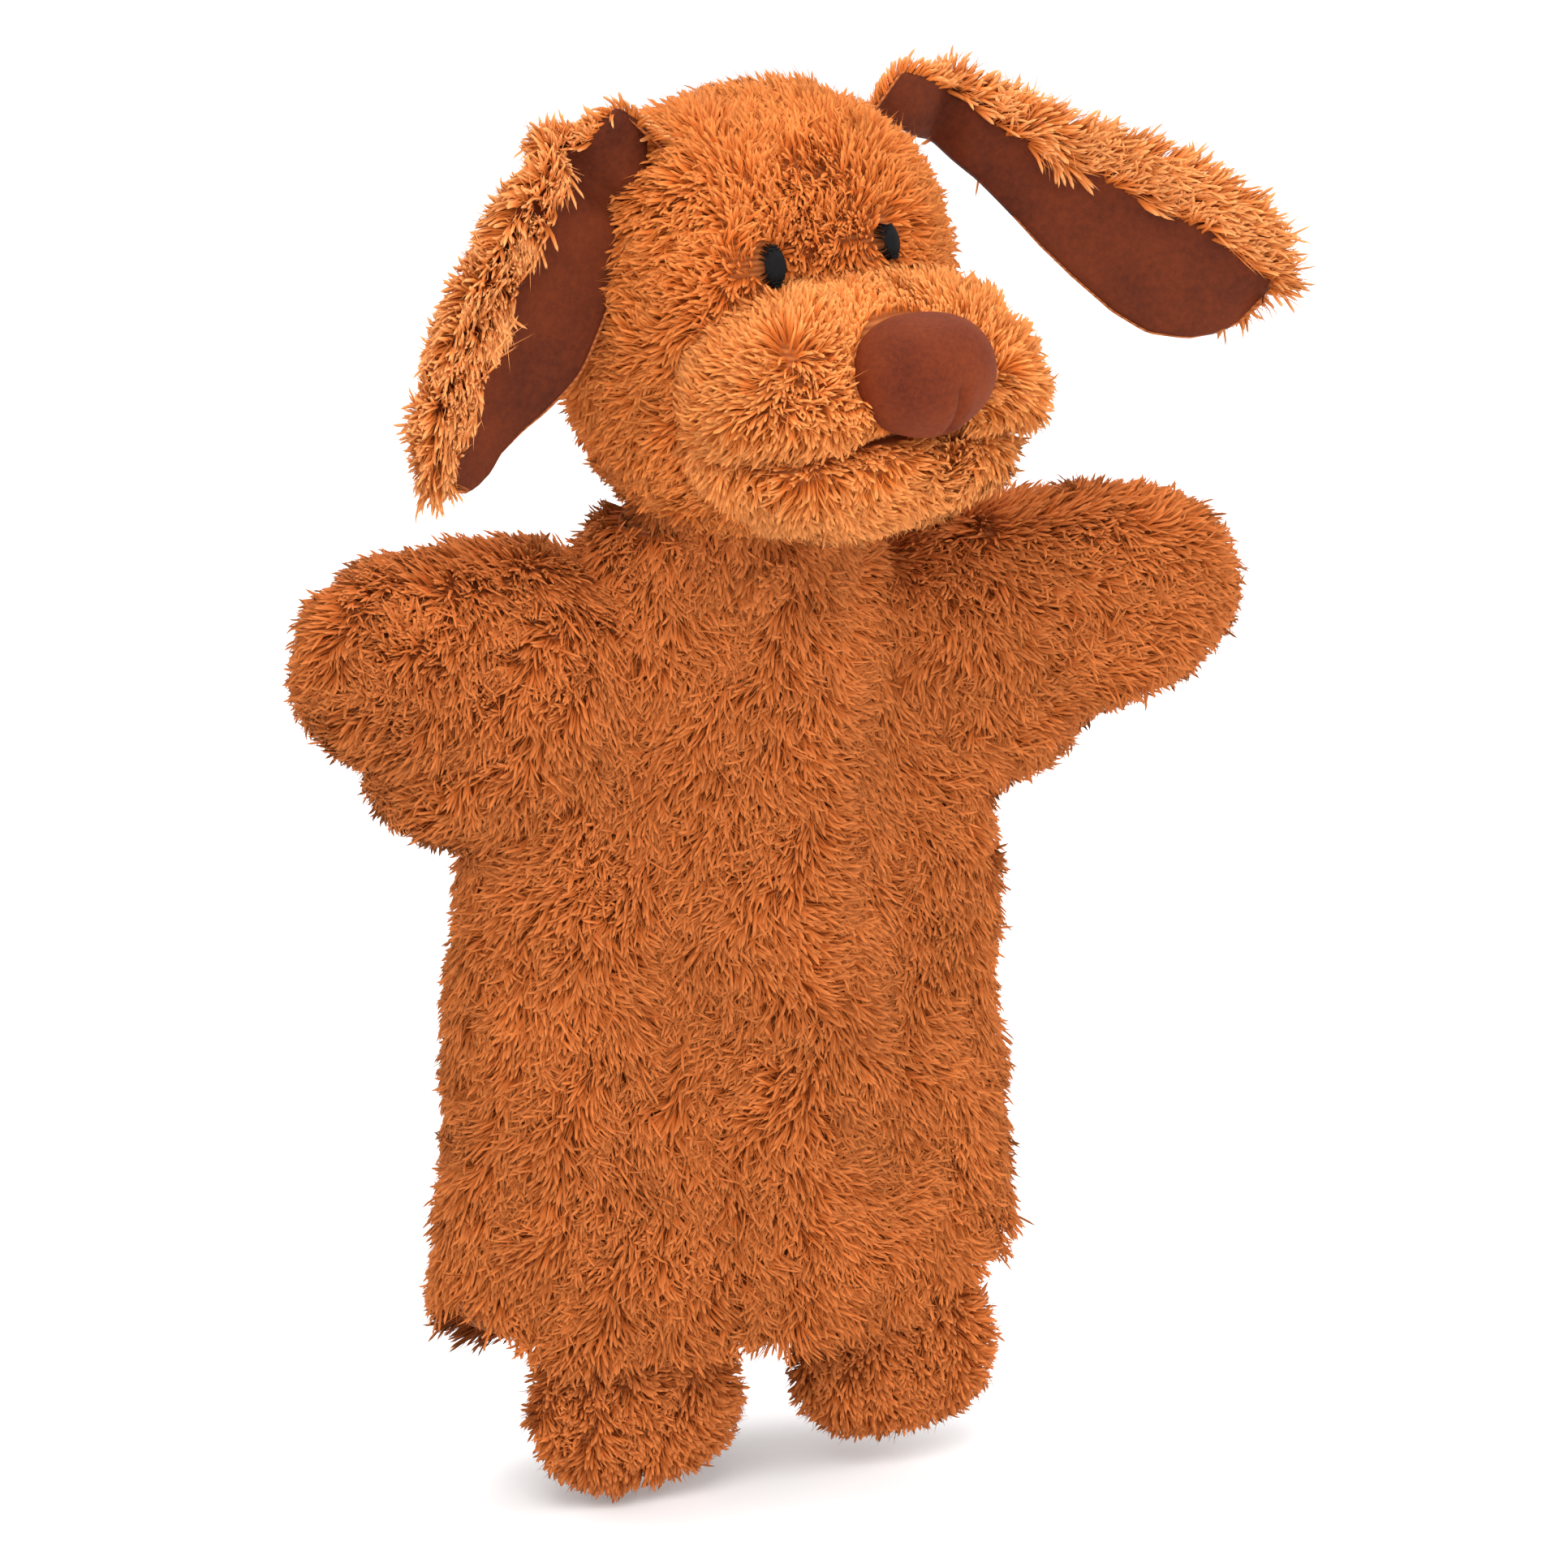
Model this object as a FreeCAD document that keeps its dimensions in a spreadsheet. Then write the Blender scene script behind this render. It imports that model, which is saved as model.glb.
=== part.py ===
"""Dog glove puppet: a hollow fur body worn on the hand, with a stuffed head, two ears, two arms and two feet.

Millimetres, +Z up. The dog faces -Y, and its left side is +X. The origin is the centre of the opening at the hem,
where the hand goes in. Fur fabric is a wall as thick as its backing and its combed pile together.
"""
import FreeCAD, Part
import math
import os

doc = FreeCAD.newDocument("dog_glove_puppet")

# ---------------------------------------------------------------- driving dimensions (mm and degrees)
SIZES = [
    ("fur_wall", 7.0, "fur fabric: backing and pile"),
    ("cloth", 1.5, "plain cloth or short-nap velour"),
    ("soft_gap", 0.5, "room between two soft bodies at a joint"),
    ("hem_half_width", 66, "glove at the hem, half its width"),
    ("hem_half_depth", 30, "glove at the hem, half its depth"),
    ("waist_half_width", 61, "glove at the waist, half its width"),
    ("waist_half_depth", 28, "glove at the waist, half its depth"),
    ("chest_half_width", 57, "glove under the arms, half its width"),
    ("chest_half_depth", 26.5, "glove under the arms, half its depth"),
    ("shoulder_half_width", 46, "glove at arm height, half its width"),
    ("shoulder_half_depth", 24, "glove at arm height, half its depth"),
    ("collar_half_width", 30, "glove at its top edge, half its width"),
    ("collar_half_depth", 23, "glove at its top edge, half its depth"),
    ("collar_height", 170, "top edge of the glove above the hem"),
    ("hem_dip", 3, "lowest point of the hem below the origin"),
    ("hem_radius", 128, "radius of the hem line, seen from the front"),
    ("facing_height", 13, "turned-up band inside the hem"),
    ("neck_shift_x", 2, "neck axis, sideways from the glove's middle"),
    ("neck_shift_y", -5, "neck axis, forward of the glove's middle"),
    ("neck_height", 176, "centre of the neck above the hem"),
    ("neck_radius", 20, "outside of the neck sleeve"),
    ("neck_bore", 12.5, "finger passage in the neck sleeve"),
    ("neck_below", 12, "neck sleeve below its centre"),
    ("neck_above", 11, "neck sleeve above its centre"),
    ("thread", 0.9, "radius of the gathering thread"),
    ("head_height", 222, "centre of the head above the hem"),
    ("head_lead", 7, "head centre forward of the neck axis"),
    ("head_turn", 15, "the head looks this far towards its left at rest"),
    ("skull_half_width", 42, "head across the cheeks, half"),
    ("skull_half_depth", 37, "head front to back, half"),
    ("skull_half_height", 46, "head top to bottom, half"),
    ("skull_back", 2, "skull centre behind the head centre"),
    ("muzzle_half_width", 40, "muzzle across, half"),
    ("muzzle_half_depth", 26, "muzzle front to back, half"),
    ("muzzle_half_height", 28, "muzzle top to bottom, half"),
    ("muzzle_front", 33, "muzzle centre forward of the head centre"),
    ("muzzle_drop", 15, "muzzle centre below the head centre"),
    ("mouth_drop", 18.5, "mouth line below the head centre"),
    ("mouth_gap", 1.2, "height of the crease at the mouth"),
    ("nose_half_width", 16.5, "nose across, half"),
    ("nose_half_depth", 13, "nose front to back, half"),
    ("nose_half_height", 13.5, "nose top to bottom, half"),
    ("nose_front", 52, "nose centre forward of the head centre"),
    ("nose_drop", 4.6, "nose centre below the head centre"),
    ("eye_side", 15.9, "eye from the middle of the face"),
    ("eye_front", 23.5, "eye forward of the head centre"),
    ("eye_rise", 15, "eye above the head centre"),
    ("eye_half_width", 2.7, "embroidered eye, half its width"),
    ("eye_half_height", 4.6, "embroidered eye, half its height"),
    ("eye_well", 5.2, "radius of the parting in the pile round an eye"),
    ("eye_splay", 34, "the eyes look this far outward"),
    ("pocket_radius", 12, "outside of the cloth finger pocket"),
    ("pocket_top", 12, "top of the finger pocket above the head centre"),
    ("ear_length", 96, "ear from its seam to its tip"),
    ("ear_root_half", 7, "ear at its seam, half its width"),
    ("ear_wide_half", 18, "ear at its widest, half its width"),
    ("ear_wide_at", 68, "widest place of the ear, from its seam"),
    ("ear_pile", 8, "thickness of the fur side of an ear"),
    ("left_ear_side", 35, "left ear seam from the middle of the head"),
    ("left_ear_rise", 41, "left ear seam above the head centre"),
    ("right_ear_side", 35, "right ear seam from the middle of the head"),
    ("right_ear_rise", 45, "right ear seam above the head centre"),
    ("right_ear_droop", 53, "right ear below level"),
    ("left_ear_droop", 30, "left ear below level"),
    ("right_ear_sweep", 0, "right ear swung forward"),
    ("left_ear_sweep", 20, "left ear swung forward"),
    ("ear_twist", 14, "ear lining turned towards the face"),
    ("arm_pivot_x", 46, "middle of a shoulder from the middle"),
    ("arm_pivot_height", 147, "middle of a shoulder above the hem"),
    ("shoulder_radius", 24.5, "ball of an arm in its shoulder"),
    ("arm_half_length", 49, "mitt along the arm, half"),
    ("arm_centre", 17, "middle of the mitt from the shoulder"),
    ("arm_half_depth", 17, "mitt front to back, half"),
    ("arm_half_height", 24, "mitt top to bottom, half"),
    ("arm_cut", 12, "inner end of the arm from the shoulder"),
    ("arm_forward", 17, "arms swung forward at rest"),
    ("arm_raise", 10, "arms raised at rest"),
    ("foot_side", 30, "foot from the middle"),
    ("foot_y", -14, "middle of a foot, front to back"),
    ("foot_half_width", 25, "foot across, half"),
    ("foot_half_depth", 8.5, "foot front to back, half"),
    ("foot_half_height", 20, "foot top to bottom, half"),
    ("foot_centre_z", -15, "middle of a foot from the hem"),
    ("foot_top_z", -7, "shoulder of a foot from the hem"),
    ("foot_pile", 5, "fur of a foot: backing and pile"),
    ("tab_half_width", 11, "sewn-in tab of a foot, half its width"),
    ("tab_thick", 3, "sewn-in tab of a foot, thickness"),
    ("tab_top", 3, "top of the tab above the hem"),
]
sheet = doc.addObject("Spreadsheet::Sheet", "Sizes")
for row, (alias, value, note) in enumerate(SIZES, start=1):
    sheet.set(f"A{row}", note)
    sheet.set(f"B{row}", str(value))
    sheet.setAlias(f"B{row}", alias)
doc.recompute()


def size(alias):
    return float(sheet.get(alias))


# ---------------------------------------------------------------- small makers used by every section
V = FreeCAD.Vector
BIG = 400.0
FRONT_HALF = "front"
BACK_HALF = "back"


def bind(thing, **expressions):
    for prop, expression in expressions.items():
        thing.setExpression(prop, expression)
    return thing


def place(thing, base=(0, 0, 0), frame=FreeCAD.Placement()):
    thing.Placement = frame.multiply(FreeCAD.Placement(V(*base), FreeCAD.Rotation()))
    return thing


def ellipsoid(name, across, deep, high, base, frame=FreeCAD.Placement()):
    """An ellipsoid with half axes along X, Y and Z, each an expression on the sheet."""
    thing = bind(doc.addObject("Part::Ellipsoid", name), Radius1=high, Radius2=across, Radius3=deep)
    thing.Angle1 = -90
    thing.Angle2 = 90
    return place(thing, base, frame)


def ball(name, radius, base, frame=FreeCAD.Placement()):
    return place(bind(doc.addObject("Part::Sphere", name), Radius=radius), base, frame)


def half_space(name, low, high, frame=FreeCAD.Placement()):
    """A large block from one corner to the other, for parting a shape along a plane."""
    thing = doc.addObject("Part::Box", name)
    thing.Length = high[0] - low[0]
    thing.Width = high[1] - low[1]
    thing.Height = high[2] - low[2]
    return place(thing, low, frame)


def cut(name, base, tool):
    thing = doc.addObject("Part::Cut", name)
    thing.Base = base
    thing.Tool = tool
    return thing


def common(name, base, tool):
    thing = doc.addObject("Part::Common", name)
    thing.Base = base
    thing.Tool = tool
    return thing


def fuse(name, base, tool):
    thing = doc.addObject("Part::Fuse", name)
    thing.Base = base
    thing.Tool = tool
    return thing


def front_and_back(name, shape, frame=FreeCAD.Placement()):
    """The two panels of a shape that is sewn along its side seams."""
    front = half_space(name + "_front_side", (-BIG, -BIG, -BIG), (BIG, 0, BIG), frame)
    back = half_space(name + "_back_side", (-BIG, 0, -BIG), (BIG, BIG, BIG), frame)
    return common(name + "_front", shape, front), common(name + "_back", shape, back)


NODES = {}


def keep(label, thing):
    thing.Label = label
    NODES[label] = thing
    return thing


# ---------------------------------------------------------------- glove: front and back fur panels, hem facing
NECK = V(size("neck_shift_x"), size("neck_shift_y"), size("neck_height"))
SHOULDERS = {"left": V(size("arm_pivot_x"), 0, size("arm_pivot_height")),
             "right": V(-size("arm_pivot_x"), 0, size("arm_pivot_height"))}
GLOVE_LEVELS = [
    ("hem", -18.0, 0.0),
    ("hem", 10.0, 0.0),
    ("waist", 72.0, 0.0),
    ("chest", 118.0, 0.0),
    ("shoulder", 150.0, 0.5),
    ("collar", None, 1.0),
]


def glove_form(name, inset, sink, top_drop):
    """The glove's form, drawn in by an inset: a loft through level ovals from below the hem to the collar."""
    ovals = []
    for number, (part, level, lean) in enumerate(GLOVE_LEVELS):
        oval = bind(doc.addObject("Part::Ellipse", f"{name}_oval_{number}"),
                    MajorRadius=f"Sizes.{part}_half_width - {inset}",
                    MinorRadius=f"Sizes.{part}_half_depth - {inset}")
        height = size("collar_height") - top_drop if level is None else level
        if number == 0:
            height -= sink
        place(oval, (lean * NECK.x, lean * NECK.y, height))
        ovals.append(oval)
    form = doc.addObject("Part::Loft", name)
    form.Sections = ovals
    form.Solid = True
    return form


glove_outside = glove_form("glove_outside", "0", 0, 0)
glove_inside = glove_form("glove_inside", "Sizes.fur_wall", 2, -1)
glove_wall = cut("glove_wall", glove_outside, glove_inside)
hem_curve = bind(doc.addObject("Part::Cylinder", "hem_curve"), Radius="Sizes.hem_radius")
hem_curve.Height = BIG
hem_curve.Placement = FreeCAD.Placement(
    V(0, BIG / 2, size("hem_radius") - size("hem_dip")), FreeCAD.Rotation(V(1, 0, 0), 90))
glove_hemmed = common("glove_hemmed", glove_wall, hem_curve)
joint_room = ball("neck_room", "Sizes.neck_radius + Sizes.soft_gap", tuple(NECK))
for side, pivot in SHOULDERS.items():
    shoulder_room = ball(f"{side}_shoulder_room", "Sizes.shoulder_radius + Sizes.soft_gap", tuple(pivot))
    joint_room = fuse(f"{side}_rooms", joint_room, shoulder_room)
glove_open = cut("glove_open", glove_hemmed, joint_room)
glove_front, glove_back = front_and_back("glove", glove_open)
keep("glove_front_panel", glove_front)
keep("glove_back_panel", glove_back)

facing_outside = glove_form("facing_outside", "Sizes.fur_wall", 2, -1)
facing_inside = glove_form("facing_inside", "(Sizes.fur_wall + Sizes.cloth)", 4, -1)
facing_wall = cut("facing_wall", facing_outside, facing_inside)
facing_hemmed = common("facing_hemmed", facing_wall, hem_curve)
facing_band = half_space("facing_band", (-BIG, -BIG, -BIG), (BIG, BIG, size("facing_height")))
keep("hem_facing", common("hem_facing_band", facing_hemmed, facing_band))

# ---------------------------------------------------------------- neck: fur sleeve and its gathering thread
neck_ball = ball("neck_ball", "Sizes.neck_radius", tuple(NECK))
neck_zone = half_space("neck_zone", (NECK.x - BIG, NECK.y - BIG, NECK.z - size("neck_below")),
                       (NECK.x + BIG, NECK.y + BIG, NECK.z + size("neck_above")))
neck_bore = bind(doc.addObject("Part::Cylinder", "neck_bore"), Radius="Sizes.neck_bore")
neck_bore.Height = BIG
place(neck_bore, (NECK.x, NECK.y, NECK.z - BIG / 2))
neck_solid = cut("neck_solid", common("neck_band", neck_ball, neck_zone), neck_bore)
neck_thread = bind(doc.addObject("Part::Torus", "neck_thread_ring"),
                   Radius1="Sizes.neck_bore - Sizes.thread", Radius2="Sizes.thread")
place(neck_thread, (NECK.x, NECK.y, NECK.z - size("neck_below") / 2))
keep("neck_sleeve", neck_solid)
keep("neck_thread", neck_thread)

# ---------------------------------------------------------------- head: a frame turned with the head
HEAD = FreeCAD.Placement(
    V(NECK.x, NECK.y, size("head_height")), FreeCAD.Rotation(V(0, 0, 1), size("head_turn")),
).multiply(FreeCAD.Placement(V(0, -size("head_lead"), 0), FreeCAD.Rotation()))
NECK_IN_HEAD = (0, size("head_lead"), size("neck_height") - size("head_height"))
SKULL_AT = (0, size("skull_back"), 0)
MUZZLE_AT = (0, -size("muzzle_front"), -size("muzzle_drop"))
NOSE_AT = (0, -size("nose_front"), -size("nose_drop"))


def headwise(name, part, inset, base):
    """A skull, muzzle or nose form in the head's frame, drawn in by an inset."""
    return ellipsoid(name, f"Sizes.{part}_half_width - {inset}", f"Sizes.{part}_half_depth - {inset}",
                     f"Sizes.{part}_half_height - {inset}", base, HEAD)


FUR = "Sizes.fur_wall"
CLOTH = "Sizes.cloth"
skull_outside = headwise("skull_outside", "skull", "0", SKULL_AT)
skull_inside = headwise("skull_inside", "skull", FUR, SKULL_AT)
muzzle_outside = headwise("muzzle_outside", "muzzle", "0", MUZZLE_AT)
muzzle_inside = headwise("muzzle_inside", "muzzle", FUR, MUZZLE_AT)
nose_outside = headwise("nose_outside", "nose", "0", NOSE_AT)
nose_inside = headwise("nose_inside", "nose", CLOTH, NOSE_AT)
head_neck_room = ball("head_neck_room", "Sizes.neck_radius + Sizes.soft_gap", NECK_IN_HEAD, HEAD)

# eyes: satin-stitched ovals at the bottom of a small parting in the pile
eye_rooms = None
for side, sign in (("left", 1), ("right", -1)):
    eye_frame = HEAD.multiply(FreeCAD.Placement(
        V(sign * size("eye_side"), -size("eye_front"), size("eye_rise")),
        FreeCAD.Rotation(V(0, 0, 1), sign * size("eye_splay"))))
    eye = ellipsoid(f"{side}_eye_pad", "Sizes.eye_half_width", "Sizes.cloth * 1.4", "Sizes.eye_half_height",
                    (0, 0, 0), eye_frame)
    keep(f"{side}_eye", eye)
    well = bind(doc.addObject("Part::Cylinder", f"{side}_eye_well"), Radius="Sizes.eye_well")
    well.Height = 30
    well.Placement = eye_frame.multiply(
        FreeCAD.Placement(V(0, size("cloth") * 1.4, 0), FreeCAD.Rotation(V(1, 0, 0), 90)))
    eye_rooms = well if eye_rooms is None else fuse("eye_wells", eye_rooms, well)

# head covers: a face panel, and two back panels that meet it in the seam from ear to ear
head_shell = cut("head_shell", cut("head_shell_full", skull_outside, skull_inside), muzzle_outside)
head_skin = cut("head_skin", cut("head_skin_eyes", head_shell, eye_rooms), head_neck_room)
face_side = half_space("face_side", (-BIG, -BIG, -BIG), (BIG, 3, BIG), HEAD)
keep("face_panel", common("face_panel_cut", head_skin, face_side))
for side, low, high in (("left", 0, BIG), ("right", -BIG, 0)):
    back_side = half_space(f"head_back_{side}_side", (low, 3, -BIG), (high, BIG, BIG), HEAD)
    keep(f"head_back_{side}", common(f"head_back_{side}_cut", head_skin, back_side))

# muzzle and chin covers, parted by the mouth crease, with a thread that pulls the crease in
muzzle_shell = cut("muzzle_shell", cut("muzzle_shell_full", muzzle_outside, muzzle_inside), skull_outside)
muzzle_skin = cut("muzzle_skin", muzzle_shell, nose_outside)
mouth_top = -size("mouth_drop") + size("mouth_gap") / 2
mouth_bottom = -size("mouth_drop") - size("mouth_gap") / 2
above_mouth = half_space("above_mouth", (-BIG, -BIG, mouth_top), (BIG, BIG, BIG), HEAD)
below_mouth = half_space("below_mouth", (-BIG, -BIG, -BIG), (BIG, BIG, mouth_bottom), HEAD)
keep("muzzle_cover", common("muzzle_cover_cut", muzzle_skin, above_mouth))
keep("chin_cover", common("chin_cover_cut", cut("chin_skin", muzzle_skin, head_neck_room), below_mouth))
thread_outside = headwise("mouth_thread_outside", "muzzle", "(Sizes.fur_wall - Sizes.mouth_gap)", MUZZLE_AT)
thread_ring = cut("mouth_thread_ring", cut("mouth_thread_form", thread_outside, muzzle_inside), skull_outside)
thread_clear = cut("mouth_thread_clear", thread_ring, nose_outside)
mouth_band = half_space("mouth_band", (-BIG, -BIG, mouth_bottom + 0.1), (BIG, BIG, mouth_top - 0.1), HEAD)
keep("mouth_thread", common("mouth_thread_cut", thread_clear, mouth_band))

# fillings, nose and the cloth pocket for the finger
pocket_solid = bind(doc.addObject("Part::Cylinder", "pocket_solid"), Radius="Sizes.pocket_radius")
pocket_solid.Height = size("pocket_top") - NECK_IN_HEAD[2]
place(pocket_solid, NECK_IN_HEAD, HEAD)
pocket_space = bind(doc.addObject("Part::Cylinder", "pocket_space"), Radius="Sizes.pocket_radius - Sizes.cloth")
pocket_space.Height = pocket_solid.Height.Value - size("cloth")
place(pocket_space, NECK_IN_HEAD, HEAD)
pocket_cloth = cut("pocket_cloth", cut("pocket_walls", pocket_solid, pocket_space), head_neck_room)
keep("finger_pocket", pocket_cloth)
filling_rooms = fuse("filling_rooms", fuse("filling_neck_rooms", pocket_solid, head_neck_room), eye_rooms)
keep("head_filling", cut("head_filling_cut", skull_inside, filling_rooms))
keep("muzzle_filling", cut("muzzle_filling_cut", muzzle_inside, skull_inside))
keep("nose_cap", cut("nose_cap_cut", cut("nose_shell", nose_outside, nose_inside), muzzle_inside))
keep("nose_filling", cut("nose_filling_cut", nose_inside, muzzle_inside))


# ---------------------------------------------------------------- ears: fur behind, velour lining in front
def ear_body(label, side_sign, front, thick):
    """A padded ear outline: root at the origin, length along +X, thickness along Z from the plane Z = front."""
    body = doc.addObject("PartDesign::Body", label)
    plane = next(f for f in body.Origin.OriginFeatures if f.Role == "XY_Plane")
    sketch = body.newObject("Sketcher::SketchObject", label + "_outline")
    sketch.AttachmentSupport = [(plane, "")]
    sketch.MapMode = "FlatFace"
    root, wide, at, length = (size("ear_root_half"), size("ear_wide_half"), size("ear_wide_at"), size("ear_length"))
    top_root = V(0, root, 0)
    top_wide = V(at, wide, 0)
    tip = V(length, side_sign * 0.15 * wide, 0)
    low_wide = V(at, -wide, 0)
    low_root = V(0, -root, 0)
    sketch.addGeometry(Part.LineSegment(top_root, top_wide))
    sketch.addGeometry(Part.Arc(top_wide, V(at + 0.8 * (length - at), 0.72 * wide, 0), tip))
    sketch.addGeometry(Part.Arc(tip, V(at + 0.8 * (length - at), -0.72 * wide, 0), low_wide))
    sketch.addGeometry(Part.LineSegment(low_wide, low_root))
    sketch.addGeometry(Part.LineSegment(low_root, top_root))
    pad = body.newObject("PartDesign::Pad", label + "_pad")
    pad.Profile = sketch
    pad.setExpression("Length", thick)
    sketch.AttachmentOffset = FreeCAD.Placement(V(0, 0, front), FreeCAD.Rotation())
    return body


def ear_frame(side, sign):
    """The ear's root on the head, turned so that its lining (-Z of the ear) looks forward."""
    droop = size(f"{side}_ear_droop")
    sweep = size(f"{side}_ear_sweep")
    out = FreeCAD.Rotation(V(0, 0, 1), -sign * sweep + (0 if sign > 0 else 180))
    down = FreeCAD.Rotation(V(0, 1, 0), droop)
    face_on = FreeCAD.Rotation(V(1, 0, 0), -90 if sign > 0 else 90)
    twist = FreeCAD.Rotation(V(1, 0, 0), size("ear_twist") if sign > 0 else -size("ear_twist"))
    turned = out.multiply(down).multiply(twist).multiply(face_on)
    root = V(sign * size(f"{side}_ear_side"), size("skull_back"), size(f"{side}_ear_rise"))
    return HEAD.multiply(FreeCAD.Placement(root, turned))


for side, sign in (("left", 1), ("right", -1)):
    frame = ear_frame(side, sign)
    fur = ear_body(f"{side}_ear_fur", sign, 0.0, "Sizes.ear_pile")
    lining = ear_body(f"{side}_ear_lining", sign, -size("cloth"), "Sizes.cloth")
    for label, body in ((f"{side}_ear_fur", fur), (f"{side}_ear_lining", lining)):
        body.Placement = frame
        keep(label, body)


# ---------------------------------------------------------------- arms: hollow mitts, open into the glove
ARM = FreeCAD.Placement(SHOULDERS["left"], FreeCAD.Rotation(V(0, 0, 1), -size("arm_forward")).multiply(
    FreeCAD.Rotation(V(0, 1, 0), -size("arm_raise"))))
mitt_centre = (size("arm_centre"), 0, 0)
mitt_outside = ellipsoid("mitt_outside", "Sizes.arm_half_length", "Sizes.arm_half_depth", "Sizes.arm_half_height",
                         mitt_centre, ARM)
mitt_inside = ellipsoid("mitt_inside", f"Sizes.arm_half_length - {FUR}", f"Sizes.arm_half_depth - {FUR}",
                        f"Sizes.arm_half_height - {FUR}", mitt_centre, ARM)
arm_outside = fuse("arm_outside", ball("arm_ball", "Sizes.shoulder_radius", (0, 0, 0), ARM), mitt_outside)
arm_inside = fuse("arm_inside", ball("arm_hollow", f"Sizes.shoulder_radius - {FUR}", (0, 0, 0), ARM), mitt_inside)
arm_shell = cut("arm_shell", arm_outside, arm_inside)
arm_mouth = half_space("arm_mouth", (-BIG, -BIG, -BIG), (-size("arm_cut"), BIG, BIG), ARM)
arm_open = cut("arm_open", arm_shell, arm_mouth)
arm_front, arm_back = front_and_back("arm", arm_open, ARM)
keep("left_arm_front", arm_front)
keep("left_arm_back", arm_back)
for label, source in (("right_arm_front", arm_front), ("right_arm_back", arm_back)):
    mirrored = doc.addObject("Part::Mirroring", label)
    mirrored.Source = source
    mirrored.Normal = V(1, 0, 0)
    keep(label, mirrored)

# ---------------------------------------------------------------- feet: flat padded tabs sewn inside the front hem
for side, sign in (("left", 1), ("right", -1)):
    foot_at = (sign * size("foot_side"), size("foot_y"), size("foot_centre_z"))
    foot_outside = ellipsoid(f"{side}_foot_outside", "Sizes.foot_half_width", "Sizes.foot_half_depth",
                             "Sizes.foot_half_height", foot_at)
    foot_inside = ellipsoid(f"{side}_foot_inside", "Sizes.foot_half_width - Sizes.foot_pile",
                            "Sizes.foot_half_depth - Sizes.foot_pile", "Sizes.foot_half_height - Sizes.foot_pile",
                            foot_at)
    below_top = half_space(f"{side}_foot_zone", (-BIG, -BIG, -BIG), (BIG, BIG, size("foot_top_z")))
    foot_body = common(f"{side}_foot_body", foot_outside, below_top)
    foot_skin = cut(f"{side}_foot_skin", foot_body, foot_inside)
    front_side = half_space(f"{side}_foot_front_side", (-BIG, -BIG, -BIG), (BIG, size("foot_y"), BIG))
    back_side = half_space(f"{side}_foot_back_side", (-BIG, size("foot_y"), -BIG), (BIG, BIG, BIG))
    keep(f"{side}_foot_front", common(f"{side}_foot_front_cut", foot_skin, front_side))
    foot_back = common(f"{side}_foot_back_cut", foot_skin, back_side)
    tab_x = sign * (size("foot_side") - 4)
    tab = half_space(f"{side}_foot_tab",
                     (tab_x - size("tab_half_width"), size("foot_y"), size("foot_top_z")),
                     (tab_x + size("tab_half_width"), size("foot_y") + size("tab_thick"), size("tab_top")))
    keep(f"{side}_foot_back", fuse(f"{side}_foot_back_tabbed", foot_back, tab))
    keep(f"{side}_foot_filling", common(f"{side}_foot_filling_cut", foot_inside, below_top))

# ---------------------------------------------------------------- check and write
doc.recompute()
for thing in doc.Objects:
    if "Invalid" in thing.State or "Error" in thing.State:
        raise RuntimeError(f"{thing.Name} did not compute: {thing.State}")
os.makedirs("parts", exist_ok=True)
total = 0.0
for label, thing in NODES.items():
    shape = thing.Shape
    if shape.isNull() or not shape.isValid():
        raise RuntimeError(f"{label} has no valid shape")
    total += shape.Volume
    box = shape.optimalBoundingBox(False)
    print(f"{label:20s} solids {len(shape.Solids)} volume {shape.Volume / 1000:8.2f} cm3 "
          f"x {box.XMin:7.1f}..{box.XMax:7.1f} y {box.YMin:7.1f}..{box.YMax:7.1f} z {box.ZMin:7.1f}..{box.ZMax:7.1f}")
    shape.exportStep(f"parts/{label}.step")
print(f"{len(NODES)} nodes, {total / 1000:.1f} cm3")
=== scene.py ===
import bmesh
import bpy
import numpy as np
from mathutils import Matrix


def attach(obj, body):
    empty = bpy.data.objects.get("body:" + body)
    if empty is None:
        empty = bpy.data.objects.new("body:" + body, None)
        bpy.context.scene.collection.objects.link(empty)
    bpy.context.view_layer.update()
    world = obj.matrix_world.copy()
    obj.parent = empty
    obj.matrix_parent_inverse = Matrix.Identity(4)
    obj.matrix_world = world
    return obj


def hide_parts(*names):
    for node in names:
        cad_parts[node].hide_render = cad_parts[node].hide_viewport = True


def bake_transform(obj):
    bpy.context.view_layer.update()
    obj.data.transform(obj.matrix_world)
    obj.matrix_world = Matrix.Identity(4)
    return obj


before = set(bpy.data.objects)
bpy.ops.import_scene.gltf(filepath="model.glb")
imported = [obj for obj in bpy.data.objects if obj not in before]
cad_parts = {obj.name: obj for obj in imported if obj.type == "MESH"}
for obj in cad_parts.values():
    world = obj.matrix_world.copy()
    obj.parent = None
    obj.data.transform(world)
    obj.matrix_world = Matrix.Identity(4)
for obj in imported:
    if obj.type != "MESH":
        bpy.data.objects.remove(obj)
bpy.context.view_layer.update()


# ---------------------------------------------------------------- Table, light and camera
# A plain pale table top under the puppet, four big soft lamps round and above it, and a long
# lens that looks down at it from its right-hand side. None of this belongs to the puppet.
MM = 0.001


def tone(red, green, blue):
    """A colour given in screen values from 0 to 255, as the shader wants it."""
    shares = np.array([red, green, blue]) / 255.0
    light = np.where(shares <= 0.04045, shares / 12.92, ((shares + 0.055) / 1.055) ** 2.4)
    return (*[float(x) for x in light], 1.0)


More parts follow.
